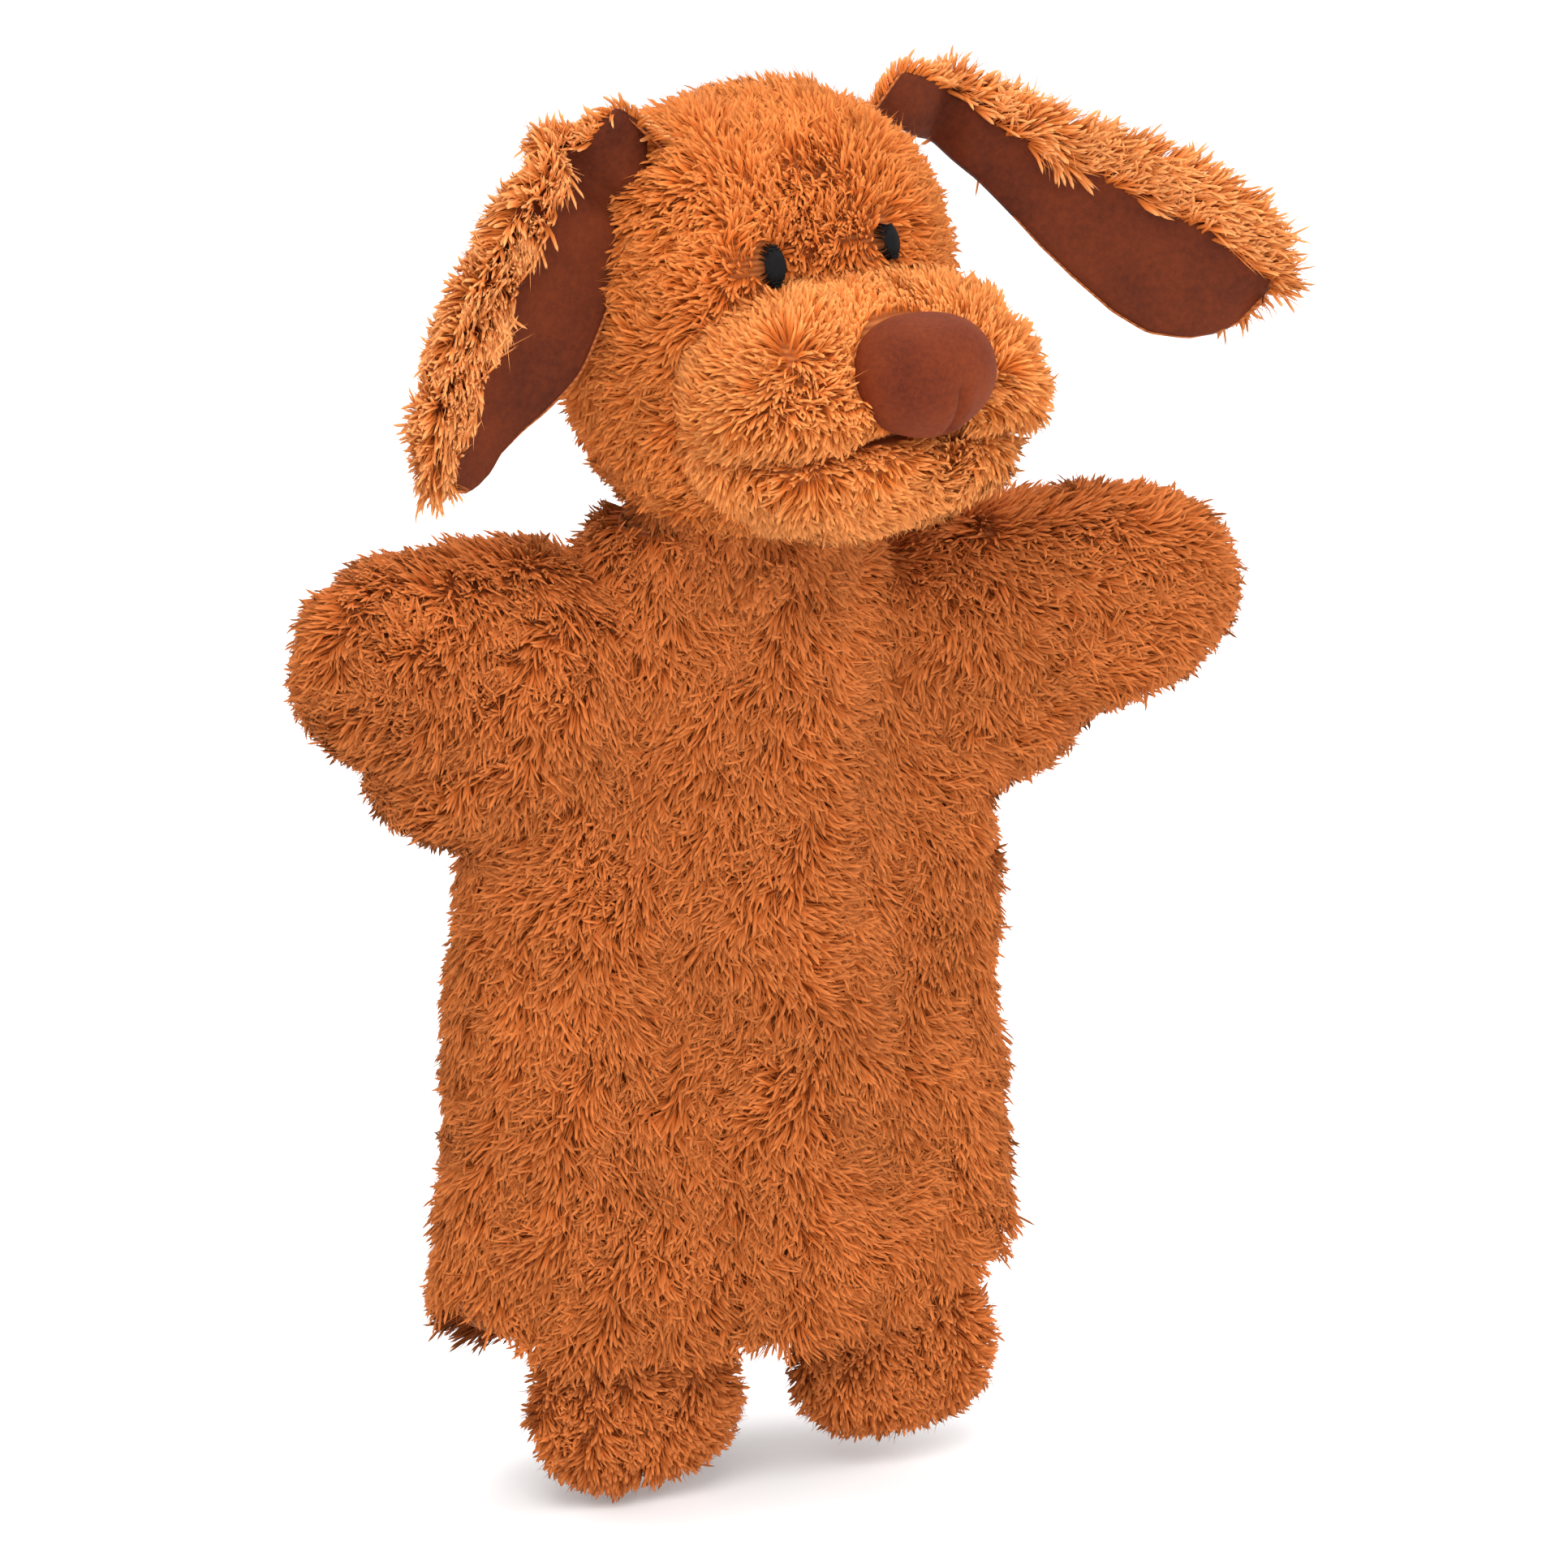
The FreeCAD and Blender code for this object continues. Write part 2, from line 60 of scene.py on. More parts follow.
def finish(name, roughness, **constants):
    """A new material with a Principled shader; the constants go straight onto its sockets."""
    material = bpy.data.materials.new(name)
    material.use_nodes = True
    shader = material.node_tree.nodes["Principled BSDF"]
    shader.inputs["Roughness"].default_value = roughness
    for socket, value in constants.items():
        shader.inputs[socket.replace("_", " ")].default_value = value
    return material, shader


def node(tree, kind, **settings):
    """A node with its properties and the values of its unlinked sockets."""
    made = tree.nodes.new("ShaderNode" + kind)
    for key, value in settings.items():
        if key in made.inputs:
            made.inputs[key].default_value = value
        else:
            setattr(made, key, value)
    return made


table_finish, table_shader = finish("table_top", 0.9)
tree = table_finish.node_tree
grain = node(tree, "TexNoise", Scale=60.0, Detail=4.0)
table_tone = node(tree, "MixRGB", Color1=tone(243, 243, 243), Color2=tone(247, 247, 247))
tree.links.new(grain.outputs["Fac"], table_tone.inputs["Fac"])
tree.links.new(table_tone.outputs["Color"], table_shader.inputs["Base Color"])

TABLE_DROP = 36 * MM
table_mesh = bpy.data.meshes.new("table_top")
TABLE_HALF = 9.0
table_mesh.from_pydata(
    [(x * TABLE_HALF, y * TABLE_HALF, -TABLE_DROP) for x, y in ((-1, -1), (1, -1), (1, 1), (-1, 1))],
    [], [(0, 1, 2, 3)])
table = bpy.data.objects.new("table_top", table_mesh)
table_mesh.materials.append(table_finish)
bpy.context.collection.objects.link(table)

world = bpy.data.worlds.new("soft_room")
world.use_nodes = True
world.node_tree.nodes["Background"].inputs["Color"].default_value = (1.0, 1.0, 1.0, 1.0)
world.node_tree.nodes["Background"].inputs["Strength"].default_value = 1.0
bpy.context.scene.world = world
bpy.context.scene.view_settings.view_transform = "Standard"

AIM = np.array([-4.6, -40.3, 126.3]) * MM
BACK = np.array([-0.408, -0.875, 0.259])
LENS = 300.0
SENSOR_WIDTH = 36.0
FRAME_WIDTH = 328.4 * MM


def looking(eye, at):
    """The turn of a lamp or camera at eye that points it at another place."""
    away = Matrix().to_3x3()
    back = (np.array(eye) - np.array(at)) / np.linalg.norm(np.array(eye) - np.array(at))
    right = np.cross((0, 0, 1), back)
    right /= np.linalg.norm(right)
    up = np.cross(back, right)
    for row in range(3):
        away[row] = (right[row], up[row], back[row])
    return Matrix.Translation(eye) @ away.to_4x4()


camera_data = bpy.data.cameras.new("camera")
camera_data.lens = LENS
camera_data.sensor_width = SENSOR_WIDTH
camera = bpy.data.objects.new("camera", camera_data)
distance = FRAME_WIDTH * LENS / SENSOR_WIDTH
camera.matrix_world = looking(AIM + BACK * distance, AIM)
bpy.context.collection.objects.link(camera)
bpy.context.scene.camera = camera

for name, place, size_m, watts in (
    ("key_lamp", (-0.55, -0.95, 0.95), 0.9, 13.0),
    ("fill_lamp", (0.95, -0.75, 0.45), 1.0, 5.0),
    ("top_lamp", (0.1, 0.15, 1.25), 0.9, 7.0),
    ("back_lamp", (0.5, 0.95, 0.7), 0.8, 5.0),
):
    lamp_data = bpy.data.lights.new(name, "AREA")
    lamp_data.size = size_m
    lamp_data.energy = watts
    lamp = bpy.data.objects.new(name, lamp_data)
    lamp.matrix_world = looking(np.array(place), AIM)
    bpy.context.collection.objects.link(lamp)


# ---------------------------------------------------------------- Glove body: two panels of long-pile plush
# The body is a front and a back panel of knitted plush, sewn together down both sides and left
# open at the hem for the hand. The backing cloth is modelled first, then the pile that stands on it.


def ball(centre, semi, turn=np.eye(3), blunt=2.0):
    """A closed ball with three half sizes; blunt over 2 fills out its corners."""
    cage = bmesh.new()
    bmesh.ops.create_uvsphere(cage, u_segments=44, v_segments=26, radius=1.0)
    points = np.array([v.co for v in cage.verts])
    faces = [[v.index for v in f.verts] for f in cage.faces]
    cage.free()
    points /= (np.abs(points) ** blunt).sum(axis=1, keepdims=True) ** (1 / blunt)
    return (points * np.array(semi)) @ np.array(turn).T + np.array(centre), faces


def stack(levels, around=56):
    """A closed tube through oval levels of (height, half width, half depth, middle y)."""
    angle = np.linspace(0, 2 * np.pi, around, endpoint=False)
    points = np.concatenate([
        np.stack([w * np.cos(angle), y + d * np.sin(angle), np.full(around, float(z))], axis=1)
        for z, w, d, y in levels])
    faces = []
    for row in range(len(levels) - 1):
        for k in range(around):
            a, b = row * around + k, row * around + (k + 1) % around
            faces.append([a, b, b + around, a + around])
    faces.append(list(range(around))[::-1])
    faces.append([len(points) - around + k for k in range(around)])
    return points, faces


def soft_form(lumps, grid, passes):
    """Closed lumps grown together into one even skin, as points and four-cornered faces."""
    points, faces, first = [], [], 0
    for lump_points, lump_faces in lumps:
        points.append(lump_points)
        faces += [[first + i for i in f] for f in lump_faces]
        first += len(lump_points)
    mesh = bpy.data.meshes.new("form")
    mesh.from_pydata(np.concatenate(points).tolist(), [], faces)
    form = bpy.data.objects.new("form", mesh)
    bpy.context.collection.objects.link(form)
    remesh = form.modifiers.new("even", "REMESH")
    remesh.mode = "VOXEL"
    remesh.voxel_size = grid
    smooth = form.modifiers.new("relax", "SMOOTH")
    smooth.factor = 0.5
    smooth.iterations = passes
    result = form.evaluated_get(bpy.context.evaluated_depsgraph_get()).to_mesh()
    skin = np.empty(len(result.vertices) * 3)
    result.vertices.foreach_get("co", skin)
    quads = np.array([tuple(p.vertices) for p in result.polygons if len(p.vertices) == 4])
    bpy.data.objects.remove(form)
    bpy.data.meshes.remove(mesh)
    return skin.reshape(-1, 3), quads


def out_of(points, quads):
    """The outward normal at every point of a skin."""
    a, b, c, d = (points[quads[:, k]] for k in range(4))
    face = np.cross(c - a, d - b)
    normals = np.zeros_like(points)
    for k in range(4):
        np.add.at(normals, quads[:, k], face)
    return normals / np.maximum(np.linalg.norm(normals, axis=1, keepdims=True), 1e-12)


def ease(x, low, high):
    """0 below low, 1 above high, smooth between."""
    t = np.clip((x - low) / (high - low), 0, 1)
    return t * t * (3 - 2 * t)


def ripple(places, reach, seed):
    """A smooth wandering value around 0 that changes over about that reach."""
    rng = np.random.default_rng(seed)
    total = np.zeros(len(places))
    for _ in range(5):
        way = rng.normal(size=3)
        way *= 2 * np.pi / (reach * rng.uniform(1.4, 3.0) * np.linalg.norm(way))
        total += np.sin(places @ way + rng.uniform(0, 6.28))
    return total / 2.2


def add_mesh(name, points, corners, counts, finish_of, values=(), facing=None):
    """A mesh object from flat arrays, in millimetres, with float values stored at its points."""
    mesh = bpy.data.meshes.new(name)
    mesh.vertices.add(len(points))
    mesh.vertices.foreach_set("co", (np.asarray(points) * MM).astype(np.float32).ravel())
    mesh.loops.add(len(corners))
    mesh.loops.foreach_set("vertex_index", np.asarray(corners, dtype=np.int32))
    mesh.polygons.add(len(counts))
    starts = np.concatenate([[0], np.cumsum(counts)[:-1]]).astype(np.int32)
    mesh.polygons.foreach_set("loop_start", starts)
    mesh.polygons.foreach_set("use_smooth", np.full(len(counts), True))
    for label, data in values:
        stored = mesh.attributes.new(label, "FLOAT", "POINT")
        stored.data.foreach_set("value", np.asarray(data, dtype=np.float32))
    mesh.update(calc_edges=True)
    if facing is not None:
        mesh.normals_split_custom_set_from_vertices(facing)
    mesh.materials.append(finish_of)
    piece = bpy.data.objects.new(name, mesh)
    bpy.context.collection.objects.link(piece)
    return piece


def cloth(name, points, quads, thick, finish_of):
    """A panel of cloth: the skin, its inner face that much further in, and the edge between."""
    used, index = np.unique(quads, return_inverse=True)
    outer = points[used]
    quads = index.reshape(-1, 4)
    inner = outer - out_of(outer, quads) * thick
    n = len(outer)
    edges = np.concatenate([quads[:, [k, (k + 1) % 4]] for k in range(4)])
    keys = {}
    for a, b in edges.tolist():
        keys[(a, b)] = keys.get((a, b), 0) + 1
    rim = np.array([(a, b) for a, b in keys if (b, a) not in keys], dtype=int).reshape(-1, 2)
    sides = np.stack([rim[:, 1], rim[:, 0], rim[:, 0] + n, rim[:, 1] + n], axis=1)
    faces = np.concatenate([quads, quads[:, ::-1] + n, sides])
    return add_mesh(name, np.concatenate([outer, inner]), faces.ravel(), np.full(len(faces), 4), finish_of)


# Where the rings sit along a strand, then its thickness and its length against a tuft's.
TUFT = ((0.0, 0.5, 0.88), 1.0, 1.0)
HAIR = ((0.0, 0.55), 0.3, 1.12)


def grow(name, points, quads, comb, spacing, length, lean, width, seed, finish_of, clear=None,
         round_light=0.7):
    """Pile on a skin: tapered tufts and finer loose hairs, leaning from the skin towards the comb's way."""
    rng = np.random.default_rng(seed)
    normals = out_of(points, quads)
    a, b, c, d = (points[quads[:, k]] for k in range(4))
    area = 0.5 * np.linalg.norm(np.cross(c - a, d - b), axis=1)
    count = int(area.sum() / spacing ** 2)
    parts_of = []
    for rings, girth, reach in (TUFT, HAIR):
        many = count
        face = rng.choice(len(quads), many, p=area / area.sum())
        u, v = rng.random((2, many, 1))
        weight = [(1 - u) * (1 - v), u * (1 - v), u * v, (1 - u) * v]
        root = sum(points[quads[face, k]] * weight[k] for k in range(4))
        out = sum(normals[quads[face, k]] * weight[k] for k in range(4))
        out /= np.linalg.norm(out, axis=1, keepdims=True)
        if clear is not None:
            stay = ~clear(root)
            root, out = root[stay], out[stay]
            many = len(root)
        way = comb(root, out)
        way = way - out * (way * out).sum(axis=1, keepdims=True)
        way /= np.maximum(np.linalg.norm(way, axis=1, keepdims=True), 1e-9)
        side = np.cross(out, way)
        swirl = (0.65 * ripple(root, 7.0, seed + 1) + rng.normal(0, 0.36, many))[:, None]
        way, side = way * np.cos(swirl) + side * np.sin(swirl), side * np.cos(swirl) - way * np.sin(swirl)
        low, high = (np.radians(x(root) if callable(x) else np.full(many, float(x))) for x in lean)
        high = high + rng.normal(0, 0.15, many) + 0.2 * ripple(root, 5.0, seed + 2)
        long = (length(root) if callable(length) else np.full(many, float(length)))
        long = long * reach * (1 + rng.normal(0, 0.11, many) + 0.1 * ripple(root, 6.0, seed + 3))
        curl = rng.normal(0, 0.24, many) + 0.3 * ripple(root, 4.5, seed + 4)
        stops = [*rings, 1.0]
        middle = root - out * 0.4
        thick = width * girth * 0.5 * rng.uniform(0.75, 1.25, many)
        verts, last = [], 0.0
        along, lit = [], []
        for t in stops:
            half_way = (t + last) / 2
            tilt = low + (high - low) * half_way
            middle = middle + (out * np.cos(tilt)[:, None] + way * np.sin(tilt)[:, None]
                               + side * (2 * curl * half_way)[:, None]) * (long * (t - last))[:, None]
            last = t
            if t == 1.0:
                verts.append(middle[:, None, :])
                along.append([1.0])
                lit.append((out + round_light * 0.8 * way)[:, None, :])
                continue
            tilt = low + (high - low) * t
            up = out * np.sin(tilt)[:, None] - way * np.cos(tilt)[:, None]
            girth_here = thick * (0.85 + 0.5 * t - 0.75 * t ** 2)
            ring, ring_lit = [], []
            for angle in (np.pi / 2, np.pi * 7 / 6, np.pi * 11 / 6):
                ring.append(middle + side * (girth_here * np.cos(angle))[:, None]
                            + up * (0.75 * girth_here * np.sin(angle))[:, None])
                ring_lit.append(out + round_light * (side * np.cos(angle) + up * np.sin(angle)))
            verts.append(np.stack(ring, axis=1))
            lit.append(np.stack(ring_lit, axis=1))
            along.append([t] * 3)
        verts, lit = np.concatenate(verts, axis=1), np.concatenate(lit, axis=1)
        lit /= np.linalg.norm(lit, axis=2, keepdims=True)
        each = verts.shape[1]
        pattern, sizes = [], []
        for row in range(len(rings) - 1):
            for k in range(3):
                p, q = row * 3 + k, row * 3 + (k + 1) % 3
                pattern += [p, q, q + 3, p + 3]
                sizes.append(4)
        top = (len(rings) - 1) * 3
        for k in range(3):
            pattern += [top + k, top + (k + 1) % 3, each - 1]
            sizes.append(3)
        parts_of.append((verts.reshape(-1, 3), np.tile(np.concatenate(along), many),
                         np.repeat(rng.random(many), each), lit.reshape(-1, 3), each, many, np.array(pattern),
                         np.array(sizes)))
    first, corners, counts = 0, [], []
    for verts, _, _, _, each, many, pattern, sizes in parts_of:
        corners.append((first + np.arange(many)[:, None] * each + pattern).ravel())
        counts.append(np.tile(sizes, many))
        first += each * many
    verts, along, strand, lit = (np.concatenate([part[k] for part in parts_of]) for k in range(4))
    return add_mesh(name, verts, np.concatenate(corners), np.concatenate(counts), finish_of,
                    values=(("along", along), ("strand", strand)), facing=lit)


def group_of(name, inputs, outputs):
    """An empty node group with named inputs and outputs, and its two end nodes."""
    tree = bpy.data.node_groups.new(name, "ShaderNodeTree")
    for label, kind, value in inputs:
        tree.interface.new_socket(label, in_out="INPUT", socket_type=kind).default_value = value
    for label, kind in outputs:
        tree.interface.new_socket(label, in_out="OUTPUT", socket_type=kind)
    return tree, tree.nodes.new("NodeGroupInput"), tree.nodes.new("NodeGroupOutput")


COLOUR, NUMBER = "NodeSocketColor", "NodeSocketFloat"
# Pile colour from root to tip: the dark root colour is painted shade between the tufts and the pale tip
# colour a painted highlight; each strand and patch also differs in tone at random.
pile_tone, given, put_out = group_of(
    "pile_tone",
    (("Root", COLOUR, tone(110, 50, 20)),
     ("Middle", COLOUR, tone(190, 105, 50)),
     ("Tip", COLOUR, tone(225, 150, 90)),
     ("Patchiness", NUMBER, 0.5)),
    (("Color", COLOUR), ("Roughness", NUMBER)))
link = pile_tone.links.new
along = node(pile_tone, "Attribute", attribute_name="along")
strand = node(pile_tone, "Attribute", attribute_name="strand")
rise = node(pile_tone, "MapRange", interpolation_type="SMOOTHSTEP", **{"From Min": 0.0, "From Max": 0.55})
link(along.outputs["Fac"], rise.inputs["Value"])
lower = node(pile_tone, "MixRGB")
link(rise.outputs["Result"], lower.inputs["Fac"])
link(given.outputs["Root"], lower.inputs["Color1"])
link(given.outputs["Middle"], lower.inputs["Color2"])
end = node(pile_tone, "MapRange", interpolation_type="SMOOTHSTEP", **{"From Min": 0.45, "From Max": 1.0})
link(along.outputs["Fac"], end.inputs["Value"])
upper = node(pile_tone, "MixRGB")
link(end.outputs["Result"], upper.inputs["Fac"])
link(lower.outputs["Color"], upper.inputs["Color1"])
link(given.outputs["Tip"], upper.inputs["Color2"])
where = node(pile_tone, "TexCoord")
patch = node(pile_tone, "TexNoise", Scale=38.0, Detail=2.0, Roughness=0.5)
link(where.outputs["Object"], patch.inputs["Vector"])
patch_part = node(pile_tone, "MapRange", **{"From Min": 0.3, "From Max": 0.7, "To Min": -0.5, "To Max": 0.5})
link(patch.outputs["Fac"], patch_part.inputs["Value"])
patch_share = node(pile_tone, "Math", operation="MULTIPLY")
link(patch_part.outputs["Result"], patch_share.inputs[0])
link(given.outputs["Patchiness"], patch_share.inputs[1])
strand_part = node(pile_tone, "MapRange",
                   **{"From Min": 0.0, "From Max": 1.0, "To Min": 0.88, "To Max": 1.12})
link(strand.outputs["Fac"], strand_part.inputs["Value"])
bright = node(pile_tone, "Math", operation="ADD")
link(strand_part.outputs["Result"], bright.inputs[0])
link(patch_share.outputs["Value"], bright.inputs[1])
shifted = node(pile_tone, "HueSaturation")
link(bright.outputs["Value"], shifted.inputs["Value"])
link(upper.outputs["Color"], shifted.inputs["Color"])
link(shifted.outputs["Color"], put_out.inputs["Color"])
dull = node(pile_tone, "MapRange", **{"From Min": 0.0, "From Max": 1.0, "To Min": 0.95, "To Max": 0.72})
link(along.outputs["Fac"], dull.inputs["Value"])
link(dull.outputs["Result"], put_out.inputs["Roughness"])


def plush(name, root, middle, tip, patchiness):
    """Dyed polyester pile, darkened towards the root with painted shade between the tufts and paled at the
    cut ends with a painted highlight.
    """
    material, shader = finish(name, 0.85, Specular_IOR_Level=0.1)
    tree = material.node_tree
    shade = tree.nodes.new("ShaderNodeGroup")
    shade.node_tree = pile_tone
    shade.inputs["Root"].default_value = root
    shade.inputs["Middle"].default_value = middle
    shade.inputs["Tip"].default_value = tip
    shade.inputs["Patchiness"].default_value = patchiness
    tree.links.new(shade.outputs["Color"], shader.inputs["Base Color"])
    tree.links.new(shade.outputs["Roughness"], shader.inputs["Roughness"])
    return material


# The first colour of each plush is painted shade at the root and the last a painted highlight at the tip,
# here and for the head, muzzle, ears and feet.
body_plush = plush("body_plush", tone(152, 68, 21), tone(172, 86, 34), tone(190, 108, 54), 0.2)

knit, given, put_out = group_of(
    "knit_backing",
    (("Light", COLOUR, tone(200, 130, 80)),
     ("Dark", COLOUR, tone(130, 70, 35)),
     ("Scale", NUMBER, 900.0)),
    (("Color", COLOUR), ("Height", NUMBER)))
link = knit.links.new
where = node(knit, "TexCoord")
rows = node(knit, "TexWave", wave_type="BANDS", bands_direction="Z", Distortion=0.5, Detail=1.0)
link(where.outputs["Object"], rows.inputs["Vector"])
link(given.outputs["Scale"], rows.inputs["Scale"])
speckle = node(knit, "TexNoise", Detail=3.0)
link(where.outputs["Object"], speckle.inputs["Vector"])
link(given.outputs["Scale"], speckle.inputs["Scale"])
both = node(knit, "Math", operation="MULTIPLY")
link(rows.outputs["Fac"], both.inputs[0])
link(speckle.outputs["Fac"], both.inputs[1])
shade = node(knit, "MixRGB")
link(both.outputs["Value"], shade.inputs["Fac"])
link(given.outputs["Dark"], shade.inputs["Color1"])
link(given.outputs["Light"], shade.inputs["Color2"])
link(shade.outputs["Color"], put_out.inputs["Color"])
link(both.outputs["Value"], put_out.inputs["Height"])


def backing(name, light, dark, scale):
    """Knitted cloth: fine rows of loops with a soft speckle."""
    material, shader = finish(name, 0.92, Specular_IOR_Level=0.2)
    tree = material.node_tree
    weave = tree.nodes.new("ShaderNodeGroup")
    weave.node_tree = knit
    weave.inputs["Light"].default_value = light
    weave.inputs["Dark"].default_value = dark
    weave.inputs["Scale"].default_value = scale
    bump = node(tree, "Bump", Strength=0.4, Distance=0.0004)
    tree.links.new(weave.outputs["Color"], shader.inputs["Base Color"])
    tree.links.new(weave.outputs["Height"], bump.inputs["Height"])
    tree.links.new(bump.outputs["Normal"], shader.inputs["Normal"])
    return material


body_backing = backing("body_backing", tone(190, 110, 58), tone(125, 60, 25), 260.0)


def arm_turn(sign):
    """The arm's own axes: out along the arm, across it, and up; swung forward and raised a little."""
    swing, raise_by = np.radians(17), np.radians(10)
    along_arm = np.array([sign * np.cos(raise_by) * np.cos(swing), -np.cos(raise_by) * np.sin(swing),
                          np.sin(raise_by)])
    across = np.cross((0, 0, 1), along_arm)
    across /= np.linalg.norm(across)
    return np.stack([along_arm, across, np.cross(along_arm, across)], axis=1)


SHOULDER = {sign: np.array([sign * 46.0, 0.0, 147.0]) for sign in (1, -1)}
# For each arm: how far out and down from the shoulder its middle lies, its half sizes, and the
# half sizes of the web under it.
ARM = {1: (18, 2, (47.5, 14.5, 23), (23, 13, 17.5)),
       -1: (15, 0, (42.5, 14.5, 21.5), (22, 13, 19))}
lumps = [stack([
    (-26, 66, 27, 0), (10, 65, 27, 0), (40, 61, 26, 0), (72, 59.5, 25, 0), (118, 57, 23.5, 0),
    (150, 46, 21.5, 0), (168, 31, 20, -2), (184, 19, 18, -4)])]
for sign in (1, -1):
    turn = arm_turn(sign)
    out_by, down_by, arm_half, web_half = ARM[sign]
    lumps.append(ball(SHOULDER[sign], (22, 20, 22)))
    lumps.append(ball(SHOULDER[sign] + turn[:, 0] * out_by - (0, 0, down_by), arm_half, turn, blunt=2.4))
    lumps.append(ball(SHOULDER[sign] + np.array([sign * 13.0, -4.0, -15.0]), web_half))
skin, skin_quads = soft_form(lumps, grid=2.4, passes=14)


def hem_height(x, y):
    """Where the hem hangs: lowest right of the middle, rising to both sides, and lower at the back."""
    corner = 7.0 * ease(-x, 52, 64) - 4.5 * np.exp(-((x + 43) / 9) ** 2)
    return 1.5 + x ** 2 / np.where(x > 0, 330.0, 800.0) + corner - 5.5 * ease(y, -6, 8)


normals = out_of(skin, skin_quads)
x, y, z = skin.T
front = ease(-y, -4, 6)
hang = ease(z, -10, 40) * 0.5 + 0.5
fold = (-3.6 * np.exp(-((x + 24 + 0.04 * (z - 90)) / 10) ** 2) * ease(z, 8, 50) * (1 - ease(z, 135, 160))
        + 2.2 * np.exp(-((x - 7) / 9) ** 2) + 1.6 * np.exp(-((x + 48) / 10) ** 2)
        - 2.6 * np.exp(-((x - 31 - 0.05 * (z - 90)) / 8) ** 2) * ease(z, 30, 75) * (1 - ease(z, 140, 160)))
fold_back = (-2.4 * np.exp(-((x - 18) / 9) ** 2) - 2.0 * np.exp(-((x + 22) / 9) ** 2)
             + 1.6 * np.exp(-(x / 8) ** 2))
in_body = ease(70 - np.abs(x), 0, 16)
folded = front * 1.45 * fold + (1 - front) * fold_back * ease(150 - z, 0, 30)
skin = skin + normals * (folded * hang * in_body + 0.8 * ripple(skin, 26.0, 5))[:, None]

middle_of = skin[skin_quads].mean(axis=1)
over_hem = middle_of[:, 2] > hem_height(middle_of[:, 0], middle_of[:, 1])
COLLAR_HEIGHT = 176
kept = over_hem & (middle_of[:, 2] < COLLAR_HEIGHT)
on_kept = np.zeros(len(skin), bool)
on_kept[skin_quads[kept].ravel()] = True
below = np.zeros(len(skin), bool)
below[skin_quads[~over_hem].ravel()] = True
edge = on_kept & below
skin[edge, 2] = hem_height(skin[edge, 0], skin[edge, 1])

# Two places at each shoulder, one on the body and one out on the arm. The sleeve's seam is just short of the
# first, as a share of the way between them.
BEND = {sign: (np.array([sign * 50.0, 0.0, 108.0]), np.array([sign * 78.5, 0.0, 117.3])) for sign in (1, -1)}
SLEEVE_SEAM = -0.05


def bend_share(places, sign):
    """How far a place is along the shoulder's bend: 0 on the body, 1 on the arm."""
    start, stop = BEND[sign]
    return ((places - start) @ (stop - start)) / ((stop - start) @ (stop - start))


def body_comb(root, out):
    """Down the body, parting to both sides of the middle fold, and out along the arms."""
    x, y, z = root.T
    arm = ease(np.abs(x), 50, 66) * ease(z, 108, 124)
    part = np.tanh((x - 6) / 5) * np.exp(-((x - 6) / 26) ** 2) * 0.9
    side = part - 0.5 * np.exp(-((x + 50) / 16) ** 2) + 0.35 * ripple(root, 24.0, 11)
    down = np.stack([side, -0.1 * np.ones_like(x), -np.ones_like(x)], axis=1)
    outward = np.stack([np.sign(x) * 1.0, -0.25 * np.ones_like(x), -0.45 * np.ones_like(x)], axis=1)
    return down * (1 - arm)[:, None] + outward * arm[:, None]


panels = {}
share = {sign: bend_share(middle_of, sign) for sign in (1, -1)}
off_middle = np.abs(middle_of[:, 0])
back_side = middle_of[:, 1] > np.where(off_middle > 50, -(off_middle - 46) * 0.30, 0.0)
for label, of_face in (
    ("glove", (share[1] <= SLEEVE_SEAM) & (share[-1] <= SLEEVE_SEAM)),
    ("left_arm", share[1] > SLEEVE_SEAM),
    ("right_arm", (share[-1] > SLEEVE_SEAM) & (share[1] <= SLEEVE_SEAM)),
):
    panels[label, "front"] = skin_quads[kept & of_face & ~back_side]
    panels[label, "back"] = skin_quads[kept & of_face & back_side]

SPACING = 1.0
for number, ((label, face), quads) in enumerate(panels.items()):
    whole = f"{label}_{face}"
    panel = cloth(whole + "_cloth", skin, quads, 1.0, body_backing)
    fur = grow(whole + "_pile", skin, quads, body_comb, SPACING, length=7.0, lean=(32, 68), width=0.95,
               seed=100 + 10 * number, finish_of=body_plush)
    for piece in (panel, fur):
        if label == "glove":
            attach(piece, "glove")
        else:
            sign = 1 if label == "left_arm" else -1
            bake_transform(piece)
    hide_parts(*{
        "glove_front": ["glove_front_panel"], "glove_back": ["glove_back_panel"],
        "left_arm_front": ["left_arm_front"], "left_arm_back": ["left_arm_back"],
        "right_arm_front": ["right_arm_front"], "right_arm_back": ["right_arm_back"]}[whole])


# ---------------------------------------------------------------- Hem facing
# A band of smooth knitted cloth sewn inside the hem, so that the hand slides in easily. It
# follows the hem all the way round.
facing_cloth = backing("facing_cloth", tone(196, 128, 80), tone(150, 84, 44), 420.0)
FACING_WIDTH = 15
near_hem = kept & (middle_of[:, 2] < hem_height(middle_of[:, 0], middle_of[:, 1]) + FACING_WIDTH)
inset_skin = skin - out_of(skin, skin_quads) * 1.6
facing = cloth("hem_facing_band", inset_skin, skin_quads[near_hem], 0.8, facing_cloth)
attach(facing, "glove")
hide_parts("hem_facing")


# ---------------------------------------------------------------- Neck
# A short sleeve of the body plush, gathered round the stiff neck and held by a few turns of thread.
# The head sits down on it, so only its pile shows.
sleeve, sleeve_faces = stack([
    (164, 21, 19.5, -5), (170, 20, 19, -5), (176, 19.5, 19, -5.5), (184, 20, 19, -6), (190, 21, 19, -7)],
    around=44)
sleeve[:, 0] += 2
sleeve_quads = np.array(sleeve_faces[:-2])


